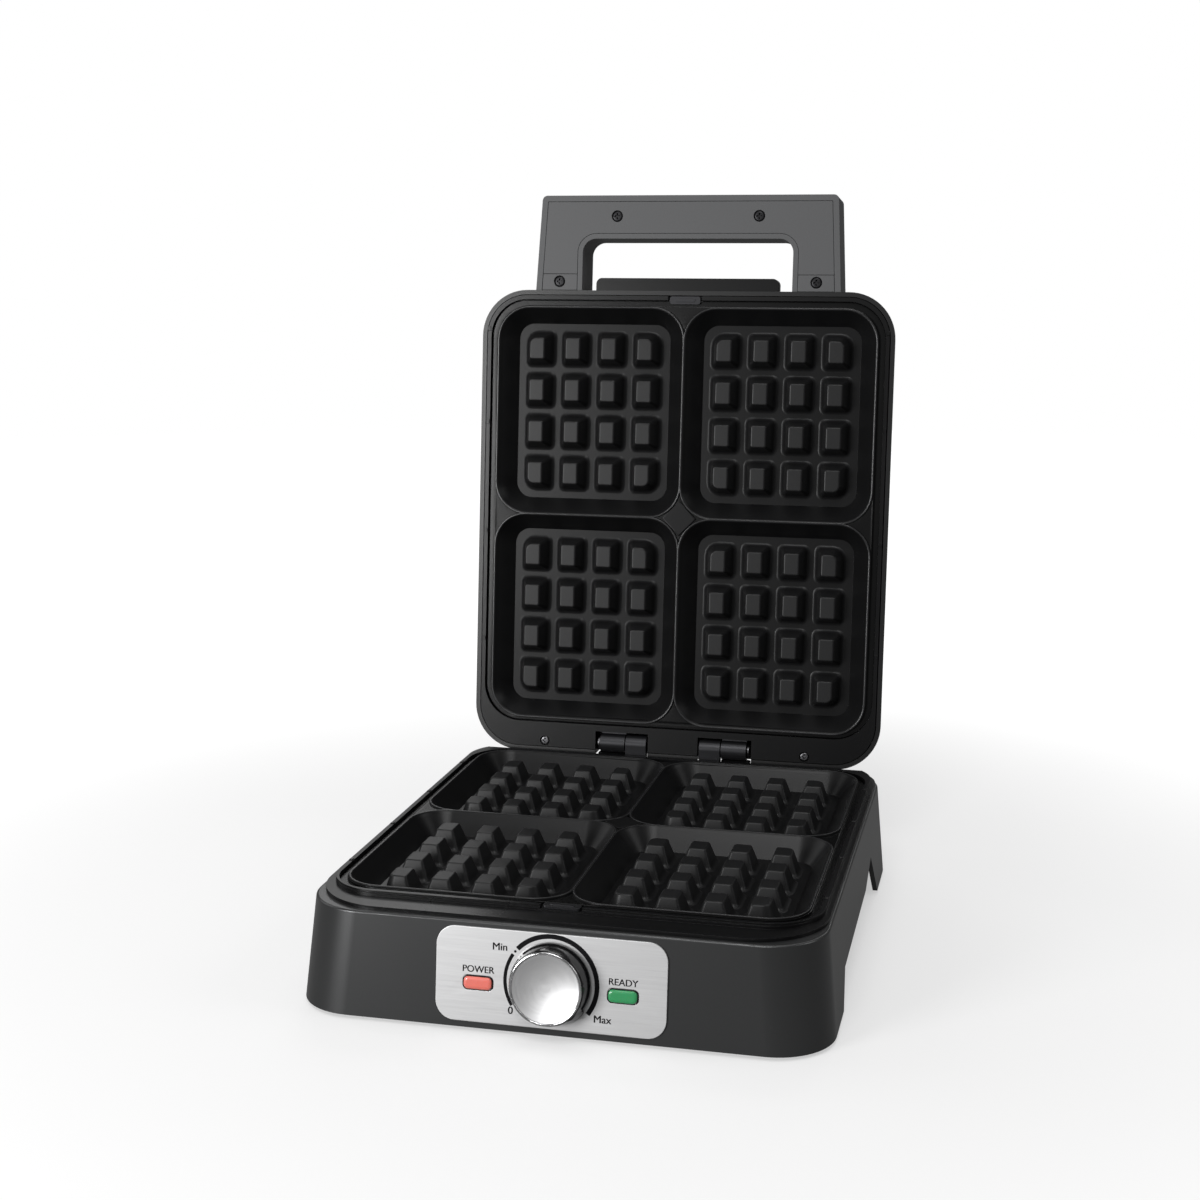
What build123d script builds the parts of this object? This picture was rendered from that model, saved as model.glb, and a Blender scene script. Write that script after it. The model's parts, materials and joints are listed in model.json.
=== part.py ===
"""Waffle maker with four square cells: a table base, a hinged lid with a loop handle and a dial."""
from build123d import *
import os
from math import atan2, cos, degrees, radians, sin

os.makedirs("parts", exist_ok=True)

# ---------------------------------------------------------------- driving dimensions, mm
# The origin is on the table, under the middle of the open machine's bounding box.
# Outlines are drawn from the hinge: x to the right, "front" and "rear" as distances in
# front of the hinge axis, so a negative rear lies behind it.
hinge_y = 119.78           # hinge axis, along X
hinge_z = 60.5
open_angle = 96.0          # the lid is stored open by this much
parting_drop = 4.5         # the cooking faces meet this far below the hinge axis
half_gap = 0.2             # half of the gap between the two plates' beads

housing_bottom = 2.0       # the housing's lower edge, above the table
housing_top = 51.5
housing_bottom_half = 127.5
housing_top_half = 123.0
housing_bottom_front = 287.6
housing_top_front = 281.8
housing_rear = -3.0
housing_corner = 29.0
wall = 2.6

cell_x = 56.02             # cell centres, either side of the middle
cell_rows = (74.65, 197.07)
cell_half = (55.4, 60.6)   # cell mouth
cell_corner = 18.4
floor_half = (45.9, 51.8)  # cell floor
floor_corner = 9.0
cell_depth = 11.3
peg_pitch = (21.7, 24.55)
peg_foot = (16.4, 19.4)
peg_tip = (8.9, 12.6)
peg_drop = 1.0             # peg tips lie this far under the bead
plate_wall = 2.4
mouth_wall = 1.4           # the pans thin out towards their mouths

lid_half = 122.0
lid_front = 268.0
lid_rear = -7.0
lid_corner = 27.0
lid_top = 31.5             # height of the closed lid above the hinge axis

handle_front = 323.0
handle_half = 90.0         # at the lid
handle_end_half = 87.0     # at the far end
handle_top = 24.0          # heights above the hinge axis, lid closed
handle_bottom = -3.0
grip_half = 62.0           # finger opening
grip_front = 298.0

dial_tilt = degrees(atan2(housing_bottom_front - housing_top_front, housing_top - housing_bottom))
panel_height = 27.0        # centre of the control panel above the table
panel_size = (108.5, 44.2)
panel_thickness = 1.0
lens_size = (14.4, 6.6)
lens_offset = (34.0, -3.7)
dial_offset = (0.4, -0.8)  # dial centre from the panel's centre
knob_radius = 19.2         # at the panel
knob_face_radius = 17.3
knob_depth = 8.4
pointer_angle = -45.0      # at rest the dial points to Max
shaft_radius = 3.0

parting_z = hinge_z - parting_drop
lower_bead = parting_z - half_gap
upper_bead = -parting_drop + half_gap


# ---------------------------------------------------------------- planes and outlines
def base_plane(height):
    """Level plane at a height above the table, with the hinge axis as its x axis."""
    return Plane((0, hinge_y, height))


lid_axes = Plane(
    (0, hinge_y, hinge_z),
    x_dir=(1, 0, 0),
    z_dir=(0, sin(radians(open_angle)), cos(radians(open_angle))),
)


def lid_plane(height):
    """The same in the open lid: a height above the hinge axis, as if the lid were closed."""
    return lid_axes.offset(height)


def side_plane(x, axes=base_plane(hinge_z)):
    """Upright plane across the hinge axis at x: x runs to the rear and y runs up."""
    return Plane(axes.origin + axes.x_dir * x, x_dir=axes.y_dir, z_dir=axes.x_dir)


lower_face = base_plane(lower_bead)
upper_face = Plane(lid_plane(upper_bead).origin, x_dir=(-1, 0, 0), z_dir=-lid_axes.z_dir)

panel_front = housing_bottom_front - (panel_height - housing_bottom) * (
    housing_bottom_front - housing_top_front
) / (housing_top - housing_bottom)
panel_plane = Plane(
    (0, hinge_y - panel_front, panel_height),
    x_dir=(1, 0, 0),
    z_dir=(0, -cos(radians(dial_tilt)), sin(radians(dial_tilt))),
)
dial_plane = Plane(
    panel_plane.origin + panel_plane.x_dir * dial_offset[0] + panel_plane.y_dir * dial_offset[1],
    x_dir=panel_plane.x_dir,
    z_dir=panel_plane.z_dir,
)
rear_plane = Plane((0, hinge_y - housing_rear, 0), x_dir=(-1, 0, 0), z_dir=(0, 1, 0))


def outline(half_width, front, rear, radius, mode=Mode.ADD):
    """Rounded rectangle about the middle, between two distances in front of the hinge."""
    with Locations((0, -(front + rear) / 2)):
        RectangleRounded(2 * half_width, front - rear, radius, mode=mode)


def housing_outline(height, inset=0.0):
    """The housing's outline at a height: its front and sides lean in towards the top."""
    share = (height - housing_bottom) / (housing_top - housing_bottom)
    half = housing_bottom_half + share * (housing_top_half - housing_bottom_half)
    front = housing_bottom_front + share * (housing_top_front - housing_bottom_front)
    outline(half - inset, front - inset, housing_rear + inset, housing_corner - inset)


def lid_outline(height, inset=0.0):
    """The lid shell's outline at a height above the hinge axis: its sides lean in."""
    lean = 3.5 * (height + parting_drop) / (lid_top + parting_drop)
    outline(lid_half - lean - inset, lid_front - inset, lid_rear + lean + inset, lid_corner - inset)


def both_sides(x, front):
    """The two points at plus and minus x, at a distance in front of the hinge."""
    return Locations((-x, -front), (x, -front))


# ---------------------------------------------------------------- base housing
post_places = ((85.0, 275.0), (98.0, 5.0))      # x, distance in front of the hinge
foot_places = ((104.0, 262.0), (100.0, 24.0))
cover_floor = (6.0, 8.5)                        # under and upper side of the bottom cover
barrel_radius = 5.5
base_barrel = (16.0, 28.5)                      # x range of each hinge's base half
lid_barrel = (29.1, 44.0)
gland_place = (84.0, 22.0)                      # x, height
gland_radius = 6.0

with BuildPart() as base_housing:
    with BuildSketch(base_plane(housing_bottom)):
        housing_outline(housing_bottom)
    with BuildSketch(base_plane(housing_top)):
        housing_outline(housing_top)
    loft(ruled=True)
    fillet(base_housing.faces().sort_by(Axis.Z)[-1].outer_wire().edges(), 1.2)
    ceiling = housing_top - wall
    with BuildSketch(base_plane(housing_bottom)):
        housing_outline(housing_bottom, wall)
    with BuildSketch(base_plane(ceiling)):
        housing_outline(ceiling, wall)
    loft(ruled=True, mode=Mode.SUBTRACT)
    # Opening for the plate frame, with a slot behind it for each hinge bracket.
    with BuildSketch(base_plane(ceiling - 1)):
        outline(118.3, 266.3, 8.0, 26.0)
        with both_sides(sum(base_barrel) / 2, 5.0):
            Rectangle(base_barrel[1] - base_barrel[0] + 1, 10.6)
    extrude(amount=wall + 2, mode=Mode.SUBTRACT)
    # Screw posts under the top.
    for x, front in post_places:
        with BuildSketch(base_plane(cover_floor[1])):
            with both_sides(x, front):
                Circle(3.5)
        extrude(amount=ceiling - cover_floor[1])
        with BuildSketch(base_plane(cover_floor[1])):
            with both_sides(x, front):
                Circle(1.5)
        extrude(amount=18, mode=Mode.SUBTRACT)
    # Arch in each side wall, between the front foot and the rear foot.
    with BuildSketch(Plane.YZ):
        with BuildLine():
            Polyline(
                (hinge_y - 233, -2), (hinge_y - 214, 18), (hinge_y - 112, 20.5),
                (hinge_y - 80, 28), (hinge_y - 56.5, -2), close=True,
            )
        make_face()
    extrude(amount=140, both=True, mode=Mode.SUBTRACT)
    # Front wall: dial shaft and the two lights.
    with BuildSketch(panel_plane):
        with Locations(dial_offset):
            Circle(5.0)
        with Locations((-lens_offset[0], lens_offset[1]), lens_offset):
            RectangleRounded(lens_size[0] + 0.6, lens_size[1] + 0.6, 2.2)
    extrude(amount=-6, mode=Mode.SUBTRACT)
    # Rear wall: cord gland and the hinge bracket screws.
    with BuildSketch(rear_plane):
        with Locations((-gland_place[0], gland_place[1])):
            Circle(gland_radius + 0.05)
    extrude(amount=-wall - 1, mode=Mode.SUBTRACT)
    with BuildSketch(rear_plane):
        with Locations(*[(side * x, 40.0) for side in (-1, 1) for x in (12.5, 36.0)]):
            Circle(1.7)
    extrude(amount=-wall - 1, mode=Mode.SUBTRACT)
base_housing.part.label = "base_housing"
export_step(base_housing.part, "parts/base_housing.step")

# Bottom cover: a floor with vents and two upright sides that close the arches.
with BuildPart() as base_bottom_cover:
    with BuildSketch(base_plane(cover_floor[0])):
        outline(115.5, 284.0, 0.2, 26.0)
    extrude(amount=cover_floor[1] - cover_floor[0])
    with BuildSketch(base_plane(cover_floor[1])):
        with both_sides(114.5, 143.0):
            Rectangle(2.0, 200.0)
    extrude(amount=37.0)
    for places, radius in ((post_places, 1.7), (foot_places, 4.0)):
        with BuildSketch(base_plane(cover_floor[0])):
            for x, front in places:
                with both_sides(x, front):
                    Circle(radius)
        extrude(amount=cover_floor[1] - cover_floor[0], mode=Mode.SUBTRACT)
    with BuildSketch(base_plane(cover_floor[0])):
        with Locations((0, -105), (0, -165)):
            with GridLocations(12.0, 1.0, 9, 1):
                SlotOverall(44.0, 4.0, rotation=90)
    extrude(amount=cover_floor[1] - cover_floor[0], mode=Mode.SUBTRACT)
base_bottom_cover.part.label = "base_bottom_cover"
export_step(base_bottom_cover.part, "parts/base_bottom_cover.step")

with BuildPart() as base_screws:
    for x, front in post_places:
        with BuildSketch(base_plane(cover_floor[0])):
            with both_sides(x, front):
                Circle(3.2)
        extrude(amount=-1.8)
        with BuildSketch(base_plane(cover_floor[0])):
            with both_sides(x, front):
                Circle(1.45)
        extrude(amount=14.0)
base_screws.part.label = "base_screws"
export_step(base_screws.part, "parts/base_screws.step")

# Rubber feet: a pad with a stem that snaps through the cover.
for name, (x, front) in zip(("front_feet", "rear_feet"), foot_places):
    with BuildPart() as feet:
        for radius, low, high in ((10.0, 0.0, 6.0), (3.95, 6.0, 8.7), (5.0, 8.7, 10.2)):
            with BuildSketch(base_plane(low)):
                with both_sides(x, front):
                    Circle(radius)
            extrude(amount=high - low)
        chamfer(feet.edges().group_by(Axis.Z)[0], 1.0)
    feet.part.label = name
    export_step(feet.part, f"parts/{name}.step")

# Plate frame: a flange on the housing, a rim round the plate and a ledge under it.
with BuildPart() as base_frame:
    with BuildSketch(base_plane(48.6)):
        outline(118.0, 266.0, 8.3, 26.0)
    extrude(amount=6.0)
    with BuildSketch(base_plane(housing_top)):
        outline(121.5, 279.0, -60.0, 36.0)
        outline(121.5, 330.0, -1.5, 26.5, mode=Mode.INTERSECT)
    extrude(amount=1.7)
    with BuildSketch(base_plane(housing_top)):
        outline(119.0, 265.0, -1.0, 27.0)
    extrude(amount=4.1)
    with BuildSketch(base_plane(40.0)):
        with Locations((0, 21.7)):
            Rectangle(300, 60)
    extrude(amount=30.0, mode=Mode.SUBTRACT)
    with BuildSketch(base_plane(51.2)):
        outline(116.6, 262.6, 10.8, 22.0)
    extrude(amount=10.0, mode=Mode.SUBTRACT)
    with BuildSketch(base_plane(48.0)):
        outline(113.3, 259.4, 12.3, 20.0)
    extrude(amount=10.0, mode=Mode.SUBTRACT)
    # Recess for the plate clip.
    with BuildSketch(base_plane(53.9)):
        with Locations((0, -264)):
            Rectangle(20.0, 6.0)
    extrude(amount=4.0, mode=Mode.SUBTRACT)
base_frame.part.label = "base_frame"
export_step(base_frame.part, "parts/base_frame.step")


# ---------------------------------------------------------------- cooking plates
def cell_block(mouth, floor, depth, mouth_corner, bottom_corner):
    """One cell's pan as a block, mouth up at z = 0."""
    with BuildPart() as block:
        with BuildSketch(Plane.XY.offset(-depth)):
            RectangleRounded(2 * floor[0], 2 * floor[1], bottom_corner)
        with BuildSketch(Plane.XY):
            RectangleRounded(2 * mouth[0], 2 * mouth[1], mouth_corner)
        loft(ruled=True)
    return block.part


cell_hollow = cell_block(cell_half, floor_half, cell_depth, cell_corner, floor_corner)
cell_shell = cell_block(
    [size + mouth_wall for size in cell_half],
    [size + plate_wall * 0.8 for size in floor_half],
    cell_depth + plate_wall,
    cell_corner + mouth_wall,
    floor_corner + plate_wall,
)

with BuildPart() as peg:
    with BuildSketch(Plane.XY.offset(-cell_depth)):
        RectangleRounded(*peg_foot, 2.4)
    with BuildSketch(Plane.XY.offset(-peg_drop)):
        RectangleRounded(*peg_tip, 1.4)
    loft(ruled=True)

cell_places = [(side * cell_x, -row) for side in (-1, 1) for row in cell_rows]


def waffle_plate(face):
    """Cast plate of four cells with pegs; the face plane looks out of the cells."""
    with BuildPart(face) as plate:
        with BuildSketch(face.offset(-4.6)):
            outline(116.3, 262.3, 11.1, 21.7)
        extrude(amount=2.4)
        with BuildSketch(face.offset(-4.6)):
            outline(113.1, 259.1, 12.6, 19.8)
        extrude(amount=4.6)
        with Locations(*cell_places):
            add(cell_shell)
        with Locations(*cell_places):
            add(cell_hollow, mode=Mode.SUBTRACT)
        with Locations(*cell_places):
            with GridLocations(*peg_pitch, 4, 4):
                add(peg.part)
    return plate.part


# ---------------------------------------------------------------- heating, on each plate
element_radius = 3.25
pan_bottom = cell_depth + plate_wall
element_depth = pan_bottom + 0.1 + element_radius
tray_depth = 24.8


def heating_element(face):
    """Tubular element in one open loop under the four pans, both ends at the rear."""
    with BuildPart() as element:
        with BuildLine(face.offset(-element_depth)) as run:
            FilletPolyline(
                (-18, -30), (-18, -62), (-84, -62), (-84, -212),
                (84, -212), (84, -62), (18, -62), (18, -30), radius=14,
            )
        with BuildSketch(Plane(run.line @ 0, z_dir=run.line % 0)):
            Circle(element_radius)
        sweep()
    return element.part


def reflector(face):
    """Sheet-steel tray that turns the heat back to the plate."""
    with BuildPart() as tray:
        with BuildSketch(face.offset(-tray_depth)):
            outline(100.0, 248.0, 24.0, 10.0)
        extrude(amount=8.0)
        with BuildSketch(face.offset(-tray_depth + 0.8)):
            outline(99.2, 247.2, 24.8, 9.2)
        extrude(amount=8.0, mode=Mode.SUBTRACT)
    return tray.part


def element_clamps(face):
    """Four sheet straps that hold the element against the pans."""
    places = Locations(*[(side * 84, -row) for side in (-1, 1) for row in (110, 165)])
    with BuildPart(face) as clamps:
        with BuildSketch(face.offset(-pan_bottom)):
            with places:
                Rectangle(24.0, 8.0)
        extrude(amount=-1.0)
        with BuildSketch(face.offset(-pan_bottom)):
            with places:
                Rectangle(9.4, 8.0)
        extrude(amount=-7.9)
        with BuildSketch(face.offset(-pan_bottom)):
            with places:
                Rectangle(7.2, 8.0)
        extrude(amount=-6.9, mode=Mode.SUBTRACT)
    return clamps.part


def plate_clip(face):
    """Spring tab in the middle of the frame's front edge, over the plate's flange."""
    with BuildPart() as clip:
        with BuildSketch(face.offset(-1.9)):
            with Locations((0, -262.6)):
                RectangleRounded(18.0, 4.6, 1.5)
        extrude(amount=1.4)
        with BuildSketch(face.offset(-0.5)):
            with Locations((0, -262.6)):
                RectangleRounded(12.0, 2.0, 0.9)
        extrude(amount=0.4)
    return clip.part


for side, face in (("lower", lower_face), ("upper", upper_face)):
    for piece, make in (
        ("plate", waffle_plate),
        ("heating_element", heating_element),
        ("reflector", reflector),
        ("element_clamps", element_clamps),
        ("plate_clip", plate_clip),
    ):
        made = make(face)
        made.label = f"{side}_{piece}"
        export_step(made, f"parts/{side}_{piece}.step")

# ---------------------------------------------------------------- controls
with BuildPart() as control_panel:
    with BuildSketch(panel_plane):
        RectangleRounded(*panel_size, 9.0)
        with Locations(dial_offset):
            Circle(5.0, mode=Mode.SUBTRACT)
        with Locations((-lens_offset[0], lens_offset[1]), lens_offset):
            RectangleRounded(lens_size[0] + 0.4, lens_size[1] + 0.4, 2.1, mode=Mode.SUBTRACT)
    extrude(amount=panel_thickness)
control_panel.part.label = "control_panel"
export_step(control_panel.part, "parts/control_panel.step")

for name, side in (("power_light_lens", -1), ("ready_light_lens", 1)):
    with BuildPart() as lens:
        with BuildSketch(panel_plane.offset(-2.4)):
            with Locations((side * lens_offset[0], lens_offset[1])):
                RectangleRounded(*lens_size, 2.0)
        extrude(amount=2.4 + panel_thickness + 1.2)
        fillet(lens.faces().sort_by(Axis.Y)[0].outer_wire().edges(), 0.8)
    lens.part.label = name
    export_step(lens.part, f"parts/{name}.step")

lens_spots = Locations((-lens_offset[0], lens_offset[1]), lens_offset)
with BuildPart() as lamp_holders:
    with BuildSketch(panel_plane.offset(-wall)):
        with lens_spots:
            Rectangle(22.0, 13.0)
            Circle(3.6, mode=Mode.SUBTRACT)
    extrude(amount=-9.0)
lamp_holders.part.label = "lamp_holders"
export_step(lamp_holders.part, "parts/lamp_holders.step")

with BuildPart() as indicator_lamps:
    with BuildSketch(panel_plane.offset(-wall)):
        with lens_spots:
            Circle(3.5)
    extrude(amount=-16.0)
indicator_lamps.part.label = "indicator_lamps"
export_step(indicator_lamps.part, "parts/indicator_lamps.step")

with BuildPart() as thermostat_bracket:
    with BuildSketch(dial_plane.offset(-wall)):
        RectangleRounded(42.0, 26.0, 3.0)
        Circle(5.0, mode=Mode.SUBTRACT)
    extrude(amount=-1.5)
thermostat_bracket.part.label = "thermostat_bracket"
export_step(thermostat_bracket.part, "parts/thermostat_bracket.step")

with BuildPart() as thermostat_body:
    with BuildSketch(dial_plane.offset(-wall - 1.5)):
        Circle(14.0)
        Circle(shaft_radius + 0.05, mode=Mode.SUBTRACT)
    extrude(amount=-12.0)
    with BuildSketch(dial_plane.offset(-wall - 13.5)):
        RectangleRounded(26.0, 22.0, 3.0)
    extrude(amount=-6.0)
thermostat_body.part.label = "thermostat_body"
export_step(thermostat_body.part, "parts/thermostat_body.step")

# Dial: every height is measured out from the housing's front wall.
knob_back = panel_thickness + 0.8
knob_face = knob_back + knob_depth
ring_radius = knob_face_radius - 0.4
with BuildPart() as thermostat_shaft:
    with BuildSketch(dial_plane.offset(-wall - 13.0)):
        Circle(shaft_radius)
    extrude(amount=wall + 13.0 + knob_face - 3.0)
thermostat_shaft.part.label = "thermostat_shaft"
export_step(thermostat_shaft.part, "parts/thermostat_shaft.step")

with BuildPart() as knob_body:
    with BuildSketch(dial_plane.offset(knob_back)):
        Circle(knob_radius)
    with BuildSketch(dial_plane.offset(knob_face)):
        Circle(knob_face_radius)
    loft()
    # A raised pointer on the skirt.
    with BuildSketch(dial_plane.offset(knob_back)):
        with Locations(Rotation(0, 0, pointer_angle)):
            with Locations((knob_radius - 0.6, 0)):
                RectangleRounded(3.2, 7.0, 1.4)
    extrude(amount=5.0)
    with BuildSketch(dial_plane.offset(knob_back)):
        Circle(shaft_radius + 0.05)
    extrude(amount=knob_depth - 2.9, mode=Mode.SUBTRACT)
    with BuildSketch(dial_plane.offset(knob_back)):
        Circle(knob_radius - 3.0)
        Circle(shaft_radius + 3.0, mode=Mode.SUBTRACT)
    extrude(amount=knob_depth - 1.8, mode=Mode.SUBTRACT)
knob_body.part.label = "knob_body"
export_step(knob_body.part, "parts/knob_body.step")

with BuildPart() as knob_ring:
    with BuildSketch(dial_plane.offset(knob_face)):
        Circle(ring_radius)
        Circle(ring_radius - 1.0, mode=Mode.SUBTRACT)
    extrude(amount=1.5)
    chamfer(knob_ring.edges().filter_by(GeomType.CIRCLE).sort_by(Axis.Y)[:2], 0.3)
knob_ring.part.label = "knob_ring"
export_step(knob_ring.part, "parts/knob_ring.step")

with BuildPart() as knob_cap:
    with BuildSketch(dial_plane.offset(knob_face)):
        Circle(ring_radius - 1.1)
    extrude(amount=1.0)
knob_cap.part.label = "knob_cap"
export_step(knob_cap.part, "parts/knob_cap.step")

# ---------------------------------------------------------------- wiring and inlet
block_place = (44.0, 40.0)
with BuildPart() as terminal_block:
    with BuildSketch(base_plane(cover_floor[1])):
        with Locations((block_place[0], -block_place[1])):
            Rectangle(34.0, 16.0)
    extrude(amount=13.0)
    with BuildSketch(base_plane(cover_floor[1] + 13.0)):
        with Locations((block_place[0], -block_place[1])):
            with GridLocations(10.0, 1.0, 3, 1):
                Circle(2.2)
    extrude(amount=-4.0, mode=Mode.SUBTRACT)
terminal_block.part.label = "terminal_block"
export_step(terminal_block.part, "parts/terminal_block.step")

wire_height = 15.0
wire_radius = 1.2
with BuildPart() as base_wiring:
    for start, end in ((38.0, -6.0), (50.0, 6.0)):
        with BuildLine(base_plane(wire_height)) as run:
            FilletPolyline(
                (start, -block_place[1] - 8.0, 0), (start, -100.0, 0), (end, -170.0, 0),
                (end, -240.0, 0), (end, -254.0, 12.5), (end, -262.0, 12.5), radius=6,
            )
        with BuildSketch(Plane(run.line @ 0, z_dir=run.line % 0)):
            Circle(wire_radius)
        sweep()
base_wiring.part.label = "base_wiring"
export_step(base_wiring.part, "parts/base_wiring.step")

# Thermal fuse in its clip, under the lower reflector.
fuse_plane = lower_face.offset(-tray_depth)
with BuildPart() as thermal_fuse:
    with BuildSketch(side_plane(-42.0, Plane(fuse_plane.origin))):
        with Locations((-140.0, -2.3)):
            Circle(2.2)
    extrude(amount=24.0)
    with BuildSketch(side_plane(-34.0, Plane(fuse_plane.origin))):
        with Locations((-140.0, -0.5)):
            Rectangle(16.0, 1.0)
    extrude(amount=8.0)
thermal_fuse.part.label = "thermal_fuse"
export_step(thermal_fuse.part, "parts/thermal_fuse.step")

with BuildPart() as cord_gland:
    with BuildSketch(rear_plane):
        with Locations((-gland_place[0], gland_place[1])):
            Circle(8.5)
            Circle(3.7, mode=Mode.SUBTRACT)
    extrude(amount=3.0)
    rims = cord_gland.edges().filter_by(GeomType.CIRCLE).sort_by(SortBy.RADIUS)[-2:]
    chamfer(rims.sort_by(Axis.Y)[-1], 0.8)
    with BuildSketch(rear_plane):
        with Locations((-gland_place[0], gland_place[1])):
            Circle(gland_radius)
            Circle(3.7, mode=Mode.SUBTRACT)
    extrude(amount=-7.0)
cord_gland.part.label = "cord_gland"
export_step(cord_gland.part, "parts/cord_gland.step")

# ---------------------------------------------------------------- hinges
pin_radius = 2.5
rear_wall_face = -housing_rear - wall         # inner side of the rear wall, y from the hinge
hinge_foot_screws = (26.0, 47.0)              # x of the screws in a lid hinge's foot
hinge_foot_row = 14.0                         # their distance in front of the hinge
for name, side in (("left", -1), ("right", 1)):
    # Base half: a barrel on an upright leg, with a foot screwed to the rear wall.
    with BuildPart() as base_hinge:
        with BuildSketch(side_plane(side * base_barrel[0])):
            Circle(barrel_radius)
            with Locations((-barrel_radius / 2, -16.0)):
                Rectangle(barrel_radius, 32.0)
            Circle(pin_radius + 0.02, mode=Mode.SUBTRACT)
        extrude(amount=side * (base_barrel[1] - base_barrel[0]))
        with BuildSketch(side_plane(side * 8.0)):
            with Locations((rear_wall_face - 1.5, -20.5)):
                Rectangle(3.0, 11.0)
        extrude(amount=side * 32.5)
        with BuildSketch(rear_plane.offset(-wall)):
            with Locations((-side * 12.5, 40.0), (-side * 36.0, 40.0)):
                Circle(1.5)
        extrude(amount=-8.0, mode=Mode.SUBTRACT)
    base_hinge.part.label = f"base_hinge_{name}"
    export_step(base_hinge.part, f"parts/base_hinge_{name}.step")

    # Lid half: the outer barrel, an arm up the inside of the lid and a foot under its top.
    with BuildPart() as lid_hinge:
        with BuildSketch(side_plane(side * lid_barrel[0], lid_axes)):
            Circle(barrel_radius)
            with Locations((-4.0, 13.5)):
                Rectangle(5.0, 27.0)
            Circle(pin_radius + 0.05, mode=Mode.SUBTRACT)
        extrude(amount=side * (lid_barrel[1] - lid_barrel[0]))
        with BuildSketch(lid_plane(25.9)):
            with Locations((side * sum(lid_barrel) / 2, -11.0)):
                Rectangle(30.0, 19.0)
            with Locations(*[(side * x, -hinge_foot_row) for x in hinge_foot_screws]):
                Circle(1.6, mode=Mode.SUBTRACT)
        extrude(amount=3.0)
    lid_hinge.part.label = f"lid_hinge_{name}"
    export_step(lid_hinge.part, f"parts/lid_hinge_{name}.step")

with BuildPart() as hinge_pins:
    for side in (-1, 1):
        with BuildSketch(side_plane(side * base_barrel[0])):
            Circle(pin_radius)
        extrude(amount=side * (lid_barrel[1] + 0.3 - base_barrel[0]))
        with BuildSketch(side_plane(side * (lid_barrel[1] + 0.3))):
            Circle(3.8)
        extrude(amount=side * 1.4)
hinge_pins.part.label = "hinge_pins"
export_step(hinge_pins.part, "parts/hinge_pins.step")

with BuildPart() as base_hinge_screws:
    spots = Locations(*[(side * x, 40.0) for side in (-1, 1) for x in (12.5, 36.0)])
    with BuildSketch(rear_plane):
        with spots:
            Circle(3.2)
    extrude(amount=1.8)
    with BuildSketch(rear_plane):
        with spots:
            Circle(1.45)
    extrude(amount=-5.6)
base_hinge_screws.part.label = "base_hinge_screws"
export_step(base_hinge_screws.part, "parts/base_hinge_screws.step")

# ---------------------------------------------------------------- lid
lid_rim = -parting_drop + 0.5
lid_ceiling = lid_top - wall
lid_post = (78.3, -0.5)
ledge_top = 2.5
leg_bolt = (76.0, 12.0)                       # x and height of the bolt in each handle leg
lid_front_plane = Plane(
    lid_axes.origin - lid_axes.y_dir * lid_front, x_dir=(1, 0, 0), z_dir=-lid_axes.y_dir
)
with BuildPart() as lid_cover:
    with BuildSketch(lid_plane(lid_rim)):
        lid_outline(lid_rim)
    with BuildSketch(lid_plane(lid_top)):
        lid_outline(lid_top)
    loft(ruled=True)
    lid_up = Axis(lid_axes.origin, lid_axes.z_dir)
    fillet(lid_cover.faces().sort_by(lid_up)[-1].outer_wire().edges(), 6.0)
    with BuildSketch(lid_plane(lid_rim)):
        lid_outline(lid_rim, wall)
    with BuildSketch(lid_plane(lid_ceiling)):
        lid_outline(lid_ceiling, wall)
    loft(ruled=True, mode=Mode.SUBTRACT)
    # Notches in the rear wall for the hinge barrels.
    with BuildSketch(lid_plane(lid_rim)):
        with both_sides(31.0, -4.0):
            Rectangle(32.0, 10.0)
    extrude(amount=11.0, mode=Mode.SUBTRACT)
    with BuildSketch(lid_plane(ledge_top)):
        with both_sides(*lid_post):
            Circle(3.4)
    extrude(amount=lid_ceiling - ledge_top)
    with BuildSketch(lid_plane(ledge_top)):
        with both_sides(*lid_post):
            Circle(1.5)
    extrude(amount=14.0, mode=Mode.SUBTRACT)
    with BuildSketch(lid_plane(lid_ceiling)):
        for x in hinge_foot_screws:
            with both_sides(x, hinge_foot_row):
                Circle(1.55)
    extrude(amount=1.8, mode=Mode.SUBTRACT)
    with BuildSketch(lid_front_plane):
        with Locations((-leg_bolt[0], leg_bolt[1]), leg_bolt):
            Circle(2.1)
    extrude(amount=-wall - 1, mode=Mode.SUBTRACT)
lid_cover.part.label = "lid_cover"
export_step(lid_cover.part, "parts/lid_cover.step")

# Lid frame: the face round the upper plate, with a ledge behind the plate's flange.
with BuildPart() as lid_frame:
    with BuildSketch(lid_plane(upper_bead)):
        outline(118.8, 265.0, -3.9, 23.8)
    extrude(amount=2.4)
    with BuildSketch(lid_plane(upper_bead)):
        outline(118.0, 264.6, -2.9, 23.0)
    extrude(amount=ledge_top - upper_bead)
    with BuildSketch(lid_plane(upper_bead)):
        outline(116.6, 262.6, 10.8, 22.0)
    extrude(amount=4.6, mode=Mode.SUBTRACT)
    with BuildSketch(lid_plane(upper_bead)):
        outline(113.3, 259.4, 12.3, 20.0)
    extrude(amount=10.0, mode=Mode.SUBTRACT)
    with BuildSketch(lid_plane(upper_bead)):
        with both_sides(31.0, -0.1):
            Rectangle(32.0, 14.2)
    extrude(amount=10.0, mode=Mode.SUBTRACT)
    with BuildSketch(lid_plane(upper_bead)):
        with Locations((0, -264)):
            Rectangle(20.0, 6.0)
    extrude(amount=1.9, mode=Mode.SUBTRACT)
    for radius, depth in ((1.7, 10.0), (2.9, 2.0)):
        with BuildSketch(lid_plane(upper_bead)):
            with both_sides(*lid_post):
                Circle(radius)
        extrude(amount=depth, mode=Mode.SUBTRACT)
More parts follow.
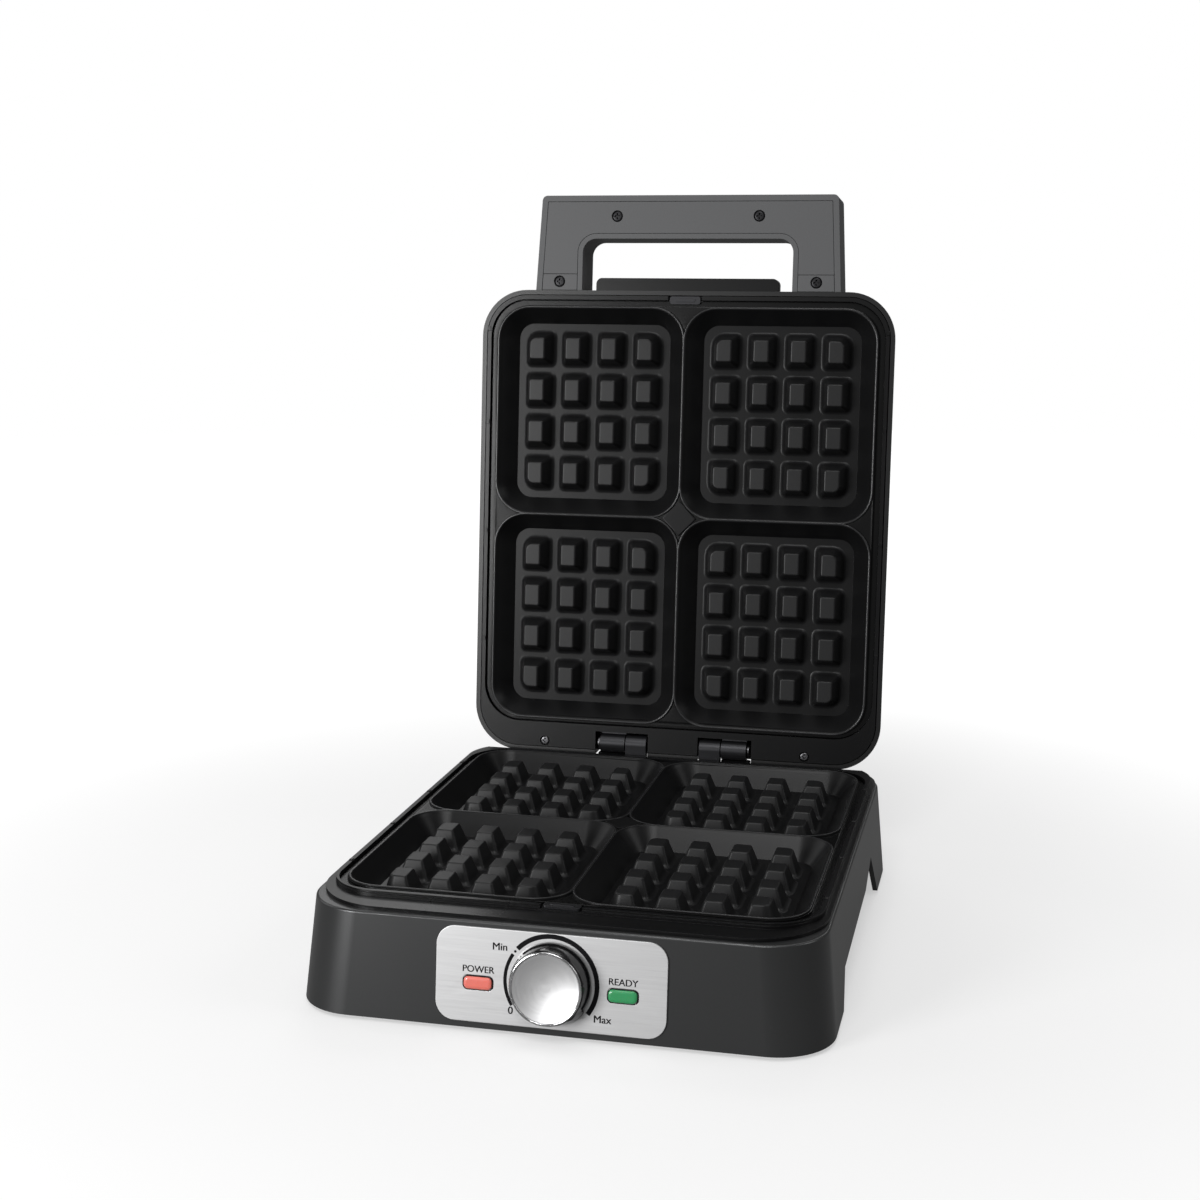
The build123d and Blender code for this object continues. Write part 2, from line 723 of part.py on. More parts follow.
lid_frame.part.label = "lid_frame"
export_step(lid_frame.part, "parts/lid_frame.step")

with BuildPart() as lid_screws:
    for radius, length in ((2.7, -1.7), (1.45, 14.0)):
        with BuildSketch(lid_plane(upper_bead + 2.0)):
            with both_sides(*lid_post):
                Circle(radius)
        extrude(amount=length)
lid_screws.part.label = "lid_screws"
export_step(lid_screws.part, "parts/lid_screws.step")

with BuildPart() as lid_hinge_screws:
    for radius, length in ((2.8, -1.7), (1.5, 4.7)):
        with BuildSketch(lid_plane(25.9)):
            for x in hinge_foot_screws:
                with both_sides(x, hinge_foot_row):
                    Circle(radius)
        extrude(amount=length)
lid_hinge_screws.part.label = "lid_hinge_screws"
export_step(lid_hinge_screws.part, "parts/lid_hinge_screws.step")

# Bar across the lid's front wall, under the finger opening.
with BuildPart() as lid_front_bar:
    with BuildSketch(lid_plane(-1.0)) as bar_face:
        with Locations((0, -lid_front - 3.75)):
            Rectangle(108.0, 7.5)
        fillet(bar_face.vertices().group_by(Axis.Y)[0], 3.5)
    extrude(amount=8.0)
lid_front_bar.part.label = "lid_front_bar"
export_step(lid_front_bar.part, "parts/lid_front_bar.step")

# ---------------------------------------------------------------- handle
handle_wall = 3.5
panel_inner = 0.8                             # upper side of the handle's base panel
panel_split = 277.5                           # where the leg caps meet the base panel
grip_screw = (41.8, 311.0)
leg_screw = (75.8, 273.2)
handle_lean = (handle_half - handle_end_half) / (handle_front - lid_front)


def handle_block(inset, near):
    """The handle's outline with the finger opening cut out, from a near edge outwards."""
    far = handle_front - inset
    near_half = handle_half - handle_lean * (near - lid_front) - inset
    far_half = handle_half - handle_lean * (far - lid_front) - inset
    Polygon(
        (-near_half, -near), (-far_half, -far), (far_half, -far), (near_half, -near), align=None
    )
    opening = grip_half + inset * 0.85
    outline(opening, grip_front + inset * 0.85, 230.0, 8.0 + inset * 0.85, mode=Mode.SUBTRACT)


with BuildPart() as handle_cover:
    with BuildSketch(lid_plane(handle_bottom)):
        handle_block(0.0, lid_front)
    extrude(amount=handle_top - handle_bottom)
    fillet(handle_cover.edges().filter_by(lid_up).sort_by(Axis.Z)[-2:], 3.0)
    fillet(handle_cover.faces().sort_by(lid_up)[-1].outer_wire().edges(), 1.5)
    # Pocket for the base panel and the leg caps, then the hollow of the grip.
    with BuildSketch(lid_plane(handle_bottom)):
        handle_block(handle_wall, lid_front)
    extrude(amount=panel_inner - handle_bottom, mode=Mode.SUBTRACT)
    with BuildSketch(lid_plane(panel_inner)):
        handle_block(handle_wall, 283.0)
        with both_sides(*grip_screw):
            Circle(3.5, mode=Mode.SUBTRACT)
    extrude(amount=handle_top - panel_inner - 2.5, mode=Mode.SUBTRACT)
    with BuildSketch(lid_plane(panel_inner)):
        for place in (grip_screw, leg_screw):
            with both_sides(*place):
                Circle(1.4)
    extrude(amount=9.0, mode=Mode.SUBTRACT)
    with BuildSketch(lid_front_plane):
        with Locations((-leg_bolt[0], leg_bolt[1]), leg_bolt):
            Circle(2.05)
    extrude(amount=13.0, mode=Mode.SUBTRACT)
handle_cover.part.label = "handle_cover"
export_step(handle_cover.part, "parts/handle_cover.step")


def screwed_panel(near, far, screw_place, sides):
    """A stretch of the handle's lower panel with countersunk screw holes."""
    with BuildPart() as panel:
        with BuildSketch(lid_plane(handle_bottom)):
            handle_block(handle_wall + 0.15, near)
            with Locations((0, -(near + far) / 2)):
                Rectangle(200.0, far - near, mode=Mode.INTERSECT)
            for side in (-1, 1):
                if side not in sides:
                    with Locations((side * 60.0, -near)):
                        Rectangle(120.0, 60.0, mode=Mode.SUBTRACT)
        extrude(amount=panel_inner - handle_bottom)
        for radius, depth in ((1.6, 10.0), (3.3, 1.9)):
            with BuildSketch(lid_plane(handle_bottom)):
                with Locations(*[(side * screw_place[0], -screw_place[1]) for side in sides]):
                    Circle(radius)
            extrude(amount=depth, mode=Mode.SUBTRACT)
    return panel.part


for name, panel in (
    ("handle_base", screwed_panel(panel_split + 0.15, handle_front, grip_screw, (-1, 1))),
    ("handle_leg_cap_left", screwed_panel(lid_front + 0.2, panel_split, leg_screw, (-1,))),
    ("handle_leg_cap_right", screwed_panel(lid_front + 0.2, panel_split, leg_screw, (1,))),
):
    panel.label = name
    export_step(panel, f"parts/{name}.step")

with BuildPart() as handle_screws:
    for radius, length in ((3.1, -1.5), (1.35, 10.0)):
        with BuildSketch(lid_plane(handle_bottom + 1.9)):
            for place in (grip_screw, leg_screw):
                with both_sides(*place):
                    Circle(radius)
        extrude(amount=length)
handle_screws.part.label = "handle_screws"
export_step(handle_screws.part, "parts/handle_screws.step")

# Bolts from inside the lid into the handle's legs.
with BuildPart() as handle_bolts:
    for radius, length in ((3.8, -2.4), (2.0, 14.5)):
        with BuildSketch(lid_front_plane.offset(-wall)):
            with Locations((-leg_bolt[0], leg_bolt[1]), leg_bolt):
                Circle(radius)
        extrude(amount=length)
handle_bolts.part.label = "handle_bolts"
export_step(handle_bolts.part, "parts/handle_bolts.step")
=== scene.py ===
"""Visible pieces and finishes of a four-cell waffle maker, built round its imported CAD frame."""
import json
from functools import cache
from math import cos, pi, radians, sin

import bmesh
import bpy
from bpy.props import FloatProperty, FloatVectorProperty, IntProperty, PointerProperty
from mathutils import Matrix, Vector

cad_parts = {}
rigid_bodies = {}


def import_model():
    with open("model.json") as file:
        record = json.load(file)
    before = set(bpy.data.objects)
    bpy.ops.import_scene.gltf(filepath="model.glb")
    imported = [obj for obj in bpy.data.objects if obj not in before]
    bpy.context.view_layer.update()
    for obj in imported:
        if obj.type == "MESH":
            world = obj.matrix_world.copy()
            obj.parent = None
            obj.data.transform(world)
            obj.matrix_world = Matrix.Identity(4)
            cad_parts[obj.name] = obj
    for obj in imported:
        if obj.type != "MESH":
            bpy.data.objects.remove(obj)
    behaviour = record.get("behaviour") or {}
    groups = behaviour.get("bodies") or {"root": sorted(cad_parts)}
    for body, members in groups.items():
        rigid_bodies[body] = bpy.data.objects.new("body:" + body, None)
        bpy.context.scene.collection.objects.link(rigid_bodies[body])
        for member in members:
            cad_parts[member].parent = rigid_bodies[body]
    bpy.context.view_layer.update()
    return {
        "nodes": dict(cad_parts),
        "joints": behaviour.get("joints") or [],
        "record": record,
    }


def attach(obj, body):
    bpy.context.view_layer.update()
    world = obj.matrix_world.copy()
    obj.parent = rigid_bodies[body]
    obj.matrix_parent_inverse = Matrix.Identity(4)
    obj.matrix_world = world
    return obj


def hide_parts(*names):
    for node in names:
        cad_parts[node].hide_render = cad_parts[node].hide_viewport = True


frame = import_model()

bl_info = {
    "name": "Waffle maker",
    "version": (1, 0, 0),
    "blender": (4, 5, 0),
    "location": "3D View > Sidebar > Waffle maker",
    "description": "Builds the cooking plates, dial, printed panel and finishes of a waffle maker",
    "category": "Object",
}

# ------------------------------------------------------------------ places, from the frame
# Pieces are drawn about the hinge as if the machine were shut: x to the right, y to the
# rear and z up. base_place puts such a piece in the base and lid_place in the open lid.
joints = {joint["name"]: joint for joint in frame["joints"]}
open_angle = radians(joints["lid_hinge"]["range_deg"][1])
base_place = Matrix.Translation(joints["lid_hinge"]["pos_m"])
lid_place = base_place @ Matrix.Rotation(-open_angle, 4, "X")
half_turn = Matrix.Rotation(pi, 4, "Y")


def facing(origin, outwards):
    """Matrix with its z axis along outwards, its x axis level and its origin at a point."""
    z_axis = Vector(outwards).normalized()
    x_axis = Vector((1, 0, 0))
    y_axis = z_axis.cross(x_axis)
    turn = Matrix((x_axis, y_axis, z_axis)).transposed()
    return Matrix.Translation(origin) @ turn.to_4x4()


dial_outwards = -Vector(joints["thermostat_dial"]["axis"])
dial_place = facing(joints["thermostat_dial"]["pos_m"], dial_outwards)


def box_of(points):
    """Lowest and highest corner of the box round some points."""
    return [Vector(map(pick, zip(*points))) for pick in (min, max)]


def seen_from(node, place):
    """Lowest and highest corner of a CAD node in the axes of a place."""
    back = place.inverted()
    return box_of([back @ vertex.co for vertex in frame["nodes"][node].data.vertices])


def solids_of(node, place):
    """Middle of each separate solid of a CAD node, in the axes of a place, from its box."""
    work = bmesh.new()
    work.from_mesh(frame["nodes"][node].data)
    bmesh.ops.remove_doubles(work, verts=work.verts, dist=1e-6)
    back, left, middles = place.inverted(), set(work.verts), []
    while left:
        solid, edge = [], [left.pop()]
        while edge:
            vertex = edge.pop()
            solid.append(back @ vertex.co)
            near = {link.other_vert(vertex) for link in vertex.link_edges} & left
            left -= near
            edge.extend(near)
        low, high = box_of(solid)
        middles.append((low + high) / 2)
    work.free()
    return sorted(middles, key=lambda middle: tuple(round(value, 4) for value in middle))


# ------------------------------------------------------------------ sizes and colours
def length(name, default, description):
    """A size in metres, shown in the scene's own unit."""
    return FloatProperty(
        name=name, default=default, description=description, unit="LENGTH", precision=4, min=0.0
    )


def tint(name, default, description):
    """A linear colour."""
    return FloatVectorProperty(
        name=name, default=default, description=description, subtype="COLOR", size=3, min=0, max=1
    )


def bearing(name, degrees, description):
    """An angle, shown in degrees."""
    return FloatProperty(name=name, default=radians(degrees), description=description, subtype="ANGLE")


def amount(name, default, description, **kind):
    """A number from zero upwards."""
    return FloatProperty(name=name, default=default, min=0, description=description, **kind)


plate_low, plate_high = seen_from("lower_plate", base_place)


class WAFFLE_PG_plate(bpy.types.PropertyGroup):
    """Sizes of the two cast cooking plates."""

    cell_x: length("Cell centre", 0.05602, "From the middle to a cell's centre")
    row_rear: length("Rear row", 0.07465, "From the hinge to the rear cells' centre")
    row_front: length("Front row", 0.19707, "From the hinge to the front cells' centre")
    mouth_x: length("Mouth half width", 0.0553, "Half width of a cell's mouth, inside its bead")
    mouth_y: length("Mouth half length", 0.0605, "Half length of a cell's mouth, inside its bead")
    mouth_corner: length("Mouth corner", 0.0183, "Corner radius of a cell's mouth")
    floor_x: length("Floor half width", 0.0459, "Half width of a cell's floor")
    floor_y: length("Floor half length", 0.0518, "Half length of a cell's floor")
    floor_corner: length("Floor corner", 0.009, "Corner radius of a cell's floor")
    depth: length("Cell depth", 0.0113, "From the bead down to a cell's floor")
    bead: length("Bead width", 0.0013, "Width of the bead round each cell")
    land: length("Land drop", 0.0009, "How far the flat land lies under the bead")
    edge_in: length("Land margin", 0.0032, "From the flange's edge in to the land's")
    flange: length("Flange thickness", 0.0024, "Thickness of the plate's outer flange")
    flange_drop: length("Flange drop", 0.0022, "How far the flange lies under the bead")


class WAFFLE_PG_pegs(bpy.types.PropertyGroup):
    """Sizes of the pegs that press the waffle's pockets."""

    columns: IntProperty(name="Columns", default=4, min=2, description="Pegs across a cell")
    rows: IntProperty(name="Rows", default=4, min=2, description="Pegs along a cell")
    pitch_x: length("Pitch across", 0.0217, "Distance between pegs across a cell")
    pitch_y: length("Pitch along", 0.02455, "Distance between pegs along a cell")
    foot_x: length("Foot width", 0.0164, "Width of a peg at the cell's floor")
    foot_y: length("Foot length", 0.0194, "Length of a peg at the cell's floor")
    tip_x: length("Tip width", 0.0089, "Width of a peg's flat end")
    tip_y: length("Tip length", 0.0126, "Length of a peg's flat end")
    tip_drop: length("Tip drop", 0.001, "How far a peg's end lies under the bead")
    corner: length("Corner radius", 0.0022, "Radius of a peg's upright edges at its foot")
    cut_corner: length("Cut corner", 0.0068, "Radius of the outer edge of a cell's corner pegs")


class WAFFLE_PG_dial(bpy.types.PropertyGroup):
    """Sizes of the thermostat dial, measured from the housing's front wall."""

    back: length("Back", 0.0018, "Height of the skirt's back edge")
    face: length("Face", 0.0102, "Height of the skirt's front edge")
    skirt: length("Skirt radius", 0.0192, "Radius of the skirt at its back edge")
    skirt_face: length("Skirt front radius", 0.0173, "Radius of the skirt at its front edge")
    pointer: length("Pointer", 0.001, "How far the pointer stands out of the skirt")
    pointer_width: length("Pointer width", 0.0078, "Width of the pointer round the skirt")
    pointer_angle: bearing("Pointer angle", -45, "Anticlockwise from the right")
    ring: length("Ring radius", 0.0169, "Outer radius of the polished ring")
    ring_width: length("Ring width", 0.0010, "Width of the polished ring")
    ring_height: length("Ring height", 0.0015, "How far the ring stands out of the skirt")
    dish: length("Dish depth", 0.0019, "How far the middle of the face is hollowed")


class WAFFLE_PG_print(bpy.types.PropertyGroup):
    """Sizes of the panel's printed scale and words."""

    ink: length("Ink thickness", 0.00006, "Thickness of the print")
    scale_radius: length("Scale radius", 0.0216, "Middle radius of the printed scale")
    scale_width: length("Scale width", 0.0022, "Width of the scale from Min to Max")
    lead_width: length("Lead width", 0.0016, "Width of the line from 0 to Min")
    word: length("Word height", 0.0044, "Height of the words over the lights")
    mark: length("Mark height", 0.0049, "Height of the words on the scale")
    minimum: bearing("Min angle", 142, "Where the scale begins")
    maximum: bearing("Max angle", -36, "Where the scale ends")


class WAFFLE_PG_lights(bpy.types.PropertyGroup):
    """Sizes of the two light lenses in the panel."""

    lens_x: length("Lens half width", 0.0067, "Half width of a lens")
    lens_y: length("Lens half height", 0.0029, "Half height of a lens")
    corner: length("Lens corner", 0.0021, "Corner radius of a lens")
    surround: length("Surround width", 0.0006, "Width of the dark edging round a lens")


class WAFFLE_PG_finish(bpy.types.PropertyGroup):
    """Colours of the finishes."""

    housing: tint("Housing", (0.070, 0.071, 0.072), "Metallic paint of the base")
    handle: tint("Handle", (0.088, 0.089, 0.092), "Textured plastic of the handle")
    black: tint("Black", (0.0035, 0.0035, 0.0038), "Satin plastic of the frames and lid")
    coating: tint("Coating", (0.0075, 0.0075, 0.0078), "Non-stick coating of the plates")
    silver: tint("Silver", (0.70, 0.70, 0.705), "Brushed metal of the panel and dial")
    power: tint("Power light", (0.87, 0.21, 0.165), "Lens of the power light")
    ready: tint("Ready light", (0.040, 0.330, 0.120), "Lens of the ready light")


class WAFFLE_PG_studio(bpy.types.PropertyGroup):
    """Camera and lights."""

    azimuth: bearing("Azimuth", 13.48, "Camera to the right of the front")
    elevation: bearing("Elevation", 11.01, "Camera tilt below level")
    camera: FloatVectorProperty(
        name="Camera", default=(0.20924, -0.94142, 0.35961), subtype="TRANSLATION", unit="LENGTH",
        description="Where the camera stands",
    )
    lens: FloatProperty(name="Lens", default=56.36, min=1, description="Focal length in millimetres")
    floor: length("Floor", 2.6, "Radius of the round floor")
    sky: amount("Sky", 1.0, "Brightness of the background")
    fill: amount("Fill", 0.13, "Brightness of the light all round")
    key: amount("Key", 26.0, "Power that the soft lights share out", unit="POWER")


# ------------------------------------------------------------------ outlines and shells
def rounded_loop(half, front, rear, corner, height, steps=9):
    """Rounded rectangle, anticlockwise from above; front and rear are distances in front of
    the hinge. The corner is one radius, or one each for rear right, rear left, front left
    and front right."""
    radii = (corner,) * 4 if isinstance(corner, float) else corner
    sides = ((1, 1, -rear), (-1, 1, -rear), (-1, -1, -front), (1, -1, -front))
    loop = []
    for quarter, ((across, along, edge), radius) in enumerate(zip(sides, radii)):
        for step in range(steps + 1):
            angle = (quarter + step / steps) * pi / 2
            loop.append(Vector((
                across * (half - radius) + radius * cos(angle),
                edge - along * radius + radius * sin(angle),
                height,
            )))
    return loop


def shifted(points, x, y=0.0):
    """The same points, moved level."""
    return [point + Vector((x, y, 0)) for point in points]


def loop_about(middle, half_x, half_y, corner, height, steps=9):
    """Rounded rectangle about a point."""
    loop = rounded_loop(half_x, half_y - middle.y, -half_y - middle.y, corner, height, steps)
    return shifted(loop, middle.x)


def round_the_axis(turn):
    """Unit vector at an angle about the z axis."""
    return Vector((cos(turn), sin(turn), 0))


def circle_loop(radius, height, steps=96, swell=None):
    """Circle about the z axis; swell gives an extra radius at an angle."""
    loop = []
    for step in range(steps):
        angle = 2 * pi * step / steps
        reach = radius + (swell(angle) if swell else 0)
        loop.append(Vector((reach * cos(angle), reach * sin(angle), height)))
    return loop


def eased(corners, closed=False, steps=3):
    """Points of a profile whose corners (a, b, ease) are rounded, starting ease before each."""
    points, count = [], len(corners)
    for index, (a, b, ease) in enumerate(corners):
        here = Vector((a, b))
        if ease == 0 or (not closed and index in (0, count - 1)):
            points.append(here)
            continue
        before = Vector(corners[index - 1][:2]) - here
        after = Vector(corners[(index + 1) % count][:2]) - here
        start = here + before.normalized() * min(ease, before.length * 0.49)
        end = here + after.normalized() * min(ease, after.length * 0.49)
        for step in range(steps + 1):
            share = step / steps
            points.append(start * (1 - share) ** 2 + here * 2 * share * (1 - share) + end * share ** 2)
    return points


def shell(loops, ring=False):
    """Vertices and faces through loops of one length: closed by end faces, or into a ring."""
    count, rows = len(loops[0]), len(loops)
    faces = []
    for row in range(rows if ring else rows - 1):
        for step in range(count):
            near, far = row * count, (row + 1) % rows * count
            following = (step + 1) % count
            faces.append((near + step, near + following, far + following, far + step))
    if not ring:
        faces.append(tuple(reversed(range(count))))
        faces.append(tuple(range((rows - 1) * count, rows * count)))
    return [point for loop in loops for point in loop], faces


def joined(*shells):
    """Several shells as one."""
    vertices, faces = [], []
    for points, polygons in shells:
        faces += [tuple(index + len(vertices) for index in polygon) for polygon in polygons]
        vertices += points
    return vertices, faces


def slab(loops, low, high, ease):
    """Flat sheet between two heights: the first loop is its edge, the others are its holes."""
    curve = bpy.data.curves.new("slab", "CURVE")
    curve.dimensions, curve.fill_mode = "2D", "BOTH"
    curve.extrude, curve.bevel_depth, curve.offset = (high - low) / 2 - ease, ease, -ease
    curve.bevel_resolution = 1
    for loop in loops:
        spline = curve.splines.new("POLY")
        spline.points.add(len(loop) - 1)
        spline.use_cyclic_u = True
        for point, place in zip(spline.points, loop):
            point.co = (place.x, place.y, 0, 1)
    return curve_shell(curve, (high + low) / 2)


def curve_shell(curve, height):
    """Vertices and faces of a curve or text, lifted to a height."""
    carrier = bpy.data.objects.new("outline", curve)
    mesh = bpy.data.meshes.new_from_object(carrier)
    bpy.data.objects.remove(carrier)
    lift = Vector((0, 0, height))
    made = [vertex.co + lift for vertex in mesh.vertices], [tuple(p.vertices) for p in mesh.polygons]
    bpy.data.meshes.remove(mesh)
    return made


def finished_mesh(name, made, place=Matrix.Identity(4), sharp=35):
    """Mesh from a shell: merged, facing outwards, in its place and smooth up to an angle."""
    vertices, faces = made
    mesh = bpy.data.meshes.new(name)
    mesh.from_pydata(vertices, [], faces)
    work = bmesh.new()
    work.from_mesh(mesh)
    bmesh.ops.remove_doubles(work, verts=work.verts, dist=2e-6)
    bmesh.ops.recalc_face_normals(work, faces=work.faces)
    work.to_mesh(mesh)
    work.free()
    mesh.transform(place)
    mesh.shade_smooth()
    mesh.set_sharp_from_angle(angle=radians(sharp))
    return mesh


def piece(name, mesh, body, finish, stands_for=()):
    """Puts a finished mesh in the scene, riding on a body with a finish."""
    part = bpy.data.objects.new(name, mesh)
    bpy.context.scene.collection.objects.link(part)
    mesh.materials.clear()
    mesh.materials.append(finish)
    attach(part, body)
    if stands_for:
        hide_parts(*stands_for)
    part.modifiers.new("normals", "WEIGHTED_NORMAL").keep_sharp = True


def shell_piece(name, made, place, body, slot, stands_for=(), finish=None, sharp=35):
    """Makes a piece from a shell, in its slot's finish or in one of its own."""
    piece(name, finished_mesh(name, made, place, sharp), body, finish_of(finish or slot), stands_for)


# ------------------------------------------------------------------ node trees
def add(tree, kind, inputs=None, **settings):
    """Adds a node: settings are its own properties, and inputs its sockets by name or number,
    each a value or another node's output."""
    made = tree.nodes.new(kind)
    for name, value in settings.items():
        setattr(made, name, value)
    for key, value in (inputs or {}).items():
        socket = made.inputs[key]
        if isinstance(value, bpy.types.NodeSocket):
            tree.links.new(value, socket)
        else:
            socket.default_value = value
    return made


def maths(tree, operation, *values):
    """Output of one Math node."""
    return add(tree, "ShaderNodeMath", dict(enumerate(values)), operation=operation).outputs[0]


FLOAT, COLOUR, VECTOR = "NodeSocketFloat", "NodeSocketColor", "NodeSocketVector"


def shader_group(name, inputs, fill):
    """Shader node group that puts out a colour, a roughness and a normal, built once. Besides
    its own inputs it takes the plain colour and roughness. fill(tree, inputs) returns the swing
    of the shade, the swing of the gloss, and the height and depth of the relief."""
    group = bpy.data.node_groups.get(name)
    if group:
        return group
    group = bpy.data.node_groups.new(name, "ShaderNodeTree")
    for label, kind, value in (
        ("Vector", VECTOR, None), ("Color", COLOUR, (0.1, 0.1, 0.1, 1)), ("Roughness", FLOAT, 0.4), *inputs
    ):
        socket = group.interface.new_socket(name=label, in_out="INPUT", socket_type=kind)
        if value is not None:
            socket.default_value = value
    for label, kind in (("Color", COLOUR), ("Roughness", FLOAT), ("Normal", VECTOR)):
        group.interface.new_socket(name=label, in_out="OUTPUT", socket_type=kind)
    entry, leave = group.nodes.new("NodeGroupInput").outputs, group.nodes.new("NodeGroupOutput").inputs
    shade, gloss, height, depth = fill(group, entry)
    colour = add(group, "ShaderNodeHueSaturation", {
        "Color": entry["Color"], "Value": maths(group, "ADD", shade, 1.0),
    })
    bump = add(group, "ShaderNodeBump", {"Height": height, "Distance": depth, "Strength": 1.0})
    group.links.new(colour.outputs[0], leave["Color"])
    group.links.new(maths(group, "ADD", entry["Roughness"], gloss), leave["Roughness"])
    group.links.new(bump.outputs[0], leave["Normal"])
    return group


def noise(tree, vector, scale, detail, **values):
    """Output of one Noise Texture node."""
    inputs = {"Vector": vector, "Scale": scale, "Detail": detail, **values}
    return add(tree, "ShaderNodeTexNoise", inputs).outputs["Fac"]


def grain_group():
    """Moulded or sprayed grain: fine bumps, with slow drifts of colour and gloss."""

    def fill(tree, socket):
        fine = noise(tree, socket["Vector"], socket["Grain Scale"], 2.0)
        slow = noise(tree, socket["Vector"], socket["Drift Scale"], 3.0)
        swing = maths(tree, "MULTIPLY", maths(tree, "SUBTRACT", slow, 0.5), socket["Drift"])
        speck = maths(tree, "MULTIPLY", maths(tree, "SUBTRACT", fine, 0.5), socket["Speckle"])
        gloss = maths(tree, "MULTIPLY", swing, 0.35)
        return maths(tree, "ADD", swing, speck), gloss, fine, socket["Grain Depth"]

    return shader_group("moulded_grain", (
        ("Grain Scale", FLOAT, 900.0), ("Grain Depth", FLOAT, 0.00002), ("Drift Scale", FLOAT, 12.0),
        ("Drift", FLOAT, 0.12), ("Speckle", FLOAT, 0.0),
    ), fill)


def brushed_group():
    """Fine parallel lines: noise drawn out along one axis by the Stretch vector."""

    def fill(tree, socket):
        drawn = add(
            tree, "ShaderNodeVectorMath", {0: socket["Vector"], 1: socket["Stretch"]}, operation="MULTIPLY"
        ).outputs[0]
        lines = noise(tree, drawn, 1.0, 4.0, Roughness=0.65)
        offset = maths(tree, "SUBTRACT", lines, 0.5)
        shade = maths(tree, "MULTIPLY", offset, socket["Contrast"])
        return shade, maths(tree, "MULTIPLY", offset, 0.3), lines, socket["Line Depth"]

    return shader_group("brushed_lines", (
        ("Stretch", VECTOR, (40.0, 2500.0, 2500.0)), ("Contrast", FLOAT, 0.25),
        ("Line Depth", FLOAT, 0.00001),
    ), fill)


def blank_finish(name):
    """A new material with only a Principled shader, and its Object coordinates."""
    finish = bpy.data.materials.new(name)
    finish.use_nodes = True
    tree = finish.node_tree
    tree.nodes.clear()
    shader = tree.nodes.new("ShaderNodeBsdfPrincipled")
    add(tree, "ShaderNodeOutputMaterial", {"Surface": shader.outputs[0]})
    coordinates = tree.nodes.new("ShaderNodeTexCoord").outputs["Object"]
    return finish, tree, shader, coordinates


def textured(name, group, values, shader_values, vector=None):
    """Finish whose colour, roughness and normal come from a shader group with its own values.
    vector(tree, coordinates) bends the coordinates first."""
    finish, tree, shader, coordinates = blank_finish(name)
    pattern = add(tree, "ShaderNodeGroup", values, node_tree=group)
    tree.links.new(vector(tree, coordinates) if vector else coordinates, pattern.inputs["Vector"])
    for source, target in (("Color", "Base Color"), ("Roughness", "Roughness"), ("Normal", "Normal")):
        tree.links.new(pattern.outputs[source], shader.inputs[target])
    for label, value in shader_values.items():
        shader.inputs[label.replace("_", " ")].default_value = value
    return finish


def grained(name, colour, roughness, grain=900.0, depth=0.00002, drift=0.12, speckle=0.0, **shader_values):
    """Plastic, rubber, paint or coating with a fine grain: its bumps per metre, their depth,
    and how far its shade drifts slowly and from bump to bump."""
    return textured(name, grain_group(), {
        "Color": (*colour, 1), "Roughness": roughness, "Grain Scale": grain, "Grain Depth": depth,
        "Drift": drift, "Speckle": speckle,
    }, shader_values)


def brushed(name, colour, roughness, stretch, contrast=0.25, depth=0.000006, vector=None, **shader_values):
    """Metal with lines along the axis whose stretch is smallest."""
    return textured(name, brushed_group(), {
        "Stretch": stretch, "Color": (*colour, 1), "Roughness": roughness, "Contrast": contrast,
        "Line Depth": depth,
    }, {"Metallic": 1.0, **shader_values}, vector)


def round_the_dial(tree, coordinates):
    """Coordinates as radius, angle and height about the dial's axis, for turned metal."""
    turn = dial_place.to_euler()
    local = add(tree, "ShaderNodeMapping", {
        "Vector": coordinates, "Location": dial_place.translation, "Rotation": turn,
    }, vector_type="TEXTURE").outputs[0]
    split = add(tree, "ShaderNodeSeparateXYZ", {0: local}).outputs
    squares = [maths(tree, "MULTIPLY", split[axis], split[axis]) for axis in (0, 1)]
    radius = maths(tree, "SQRT", maths(tree, "ADD", *squares))
    angle = maths(tree, "ARCTAN2", split[1], split[0])
    return add(tree, "ShaderNodeCombineXYZ", {0: radius, 1: angle, 2: split[2]}).outputs[0]


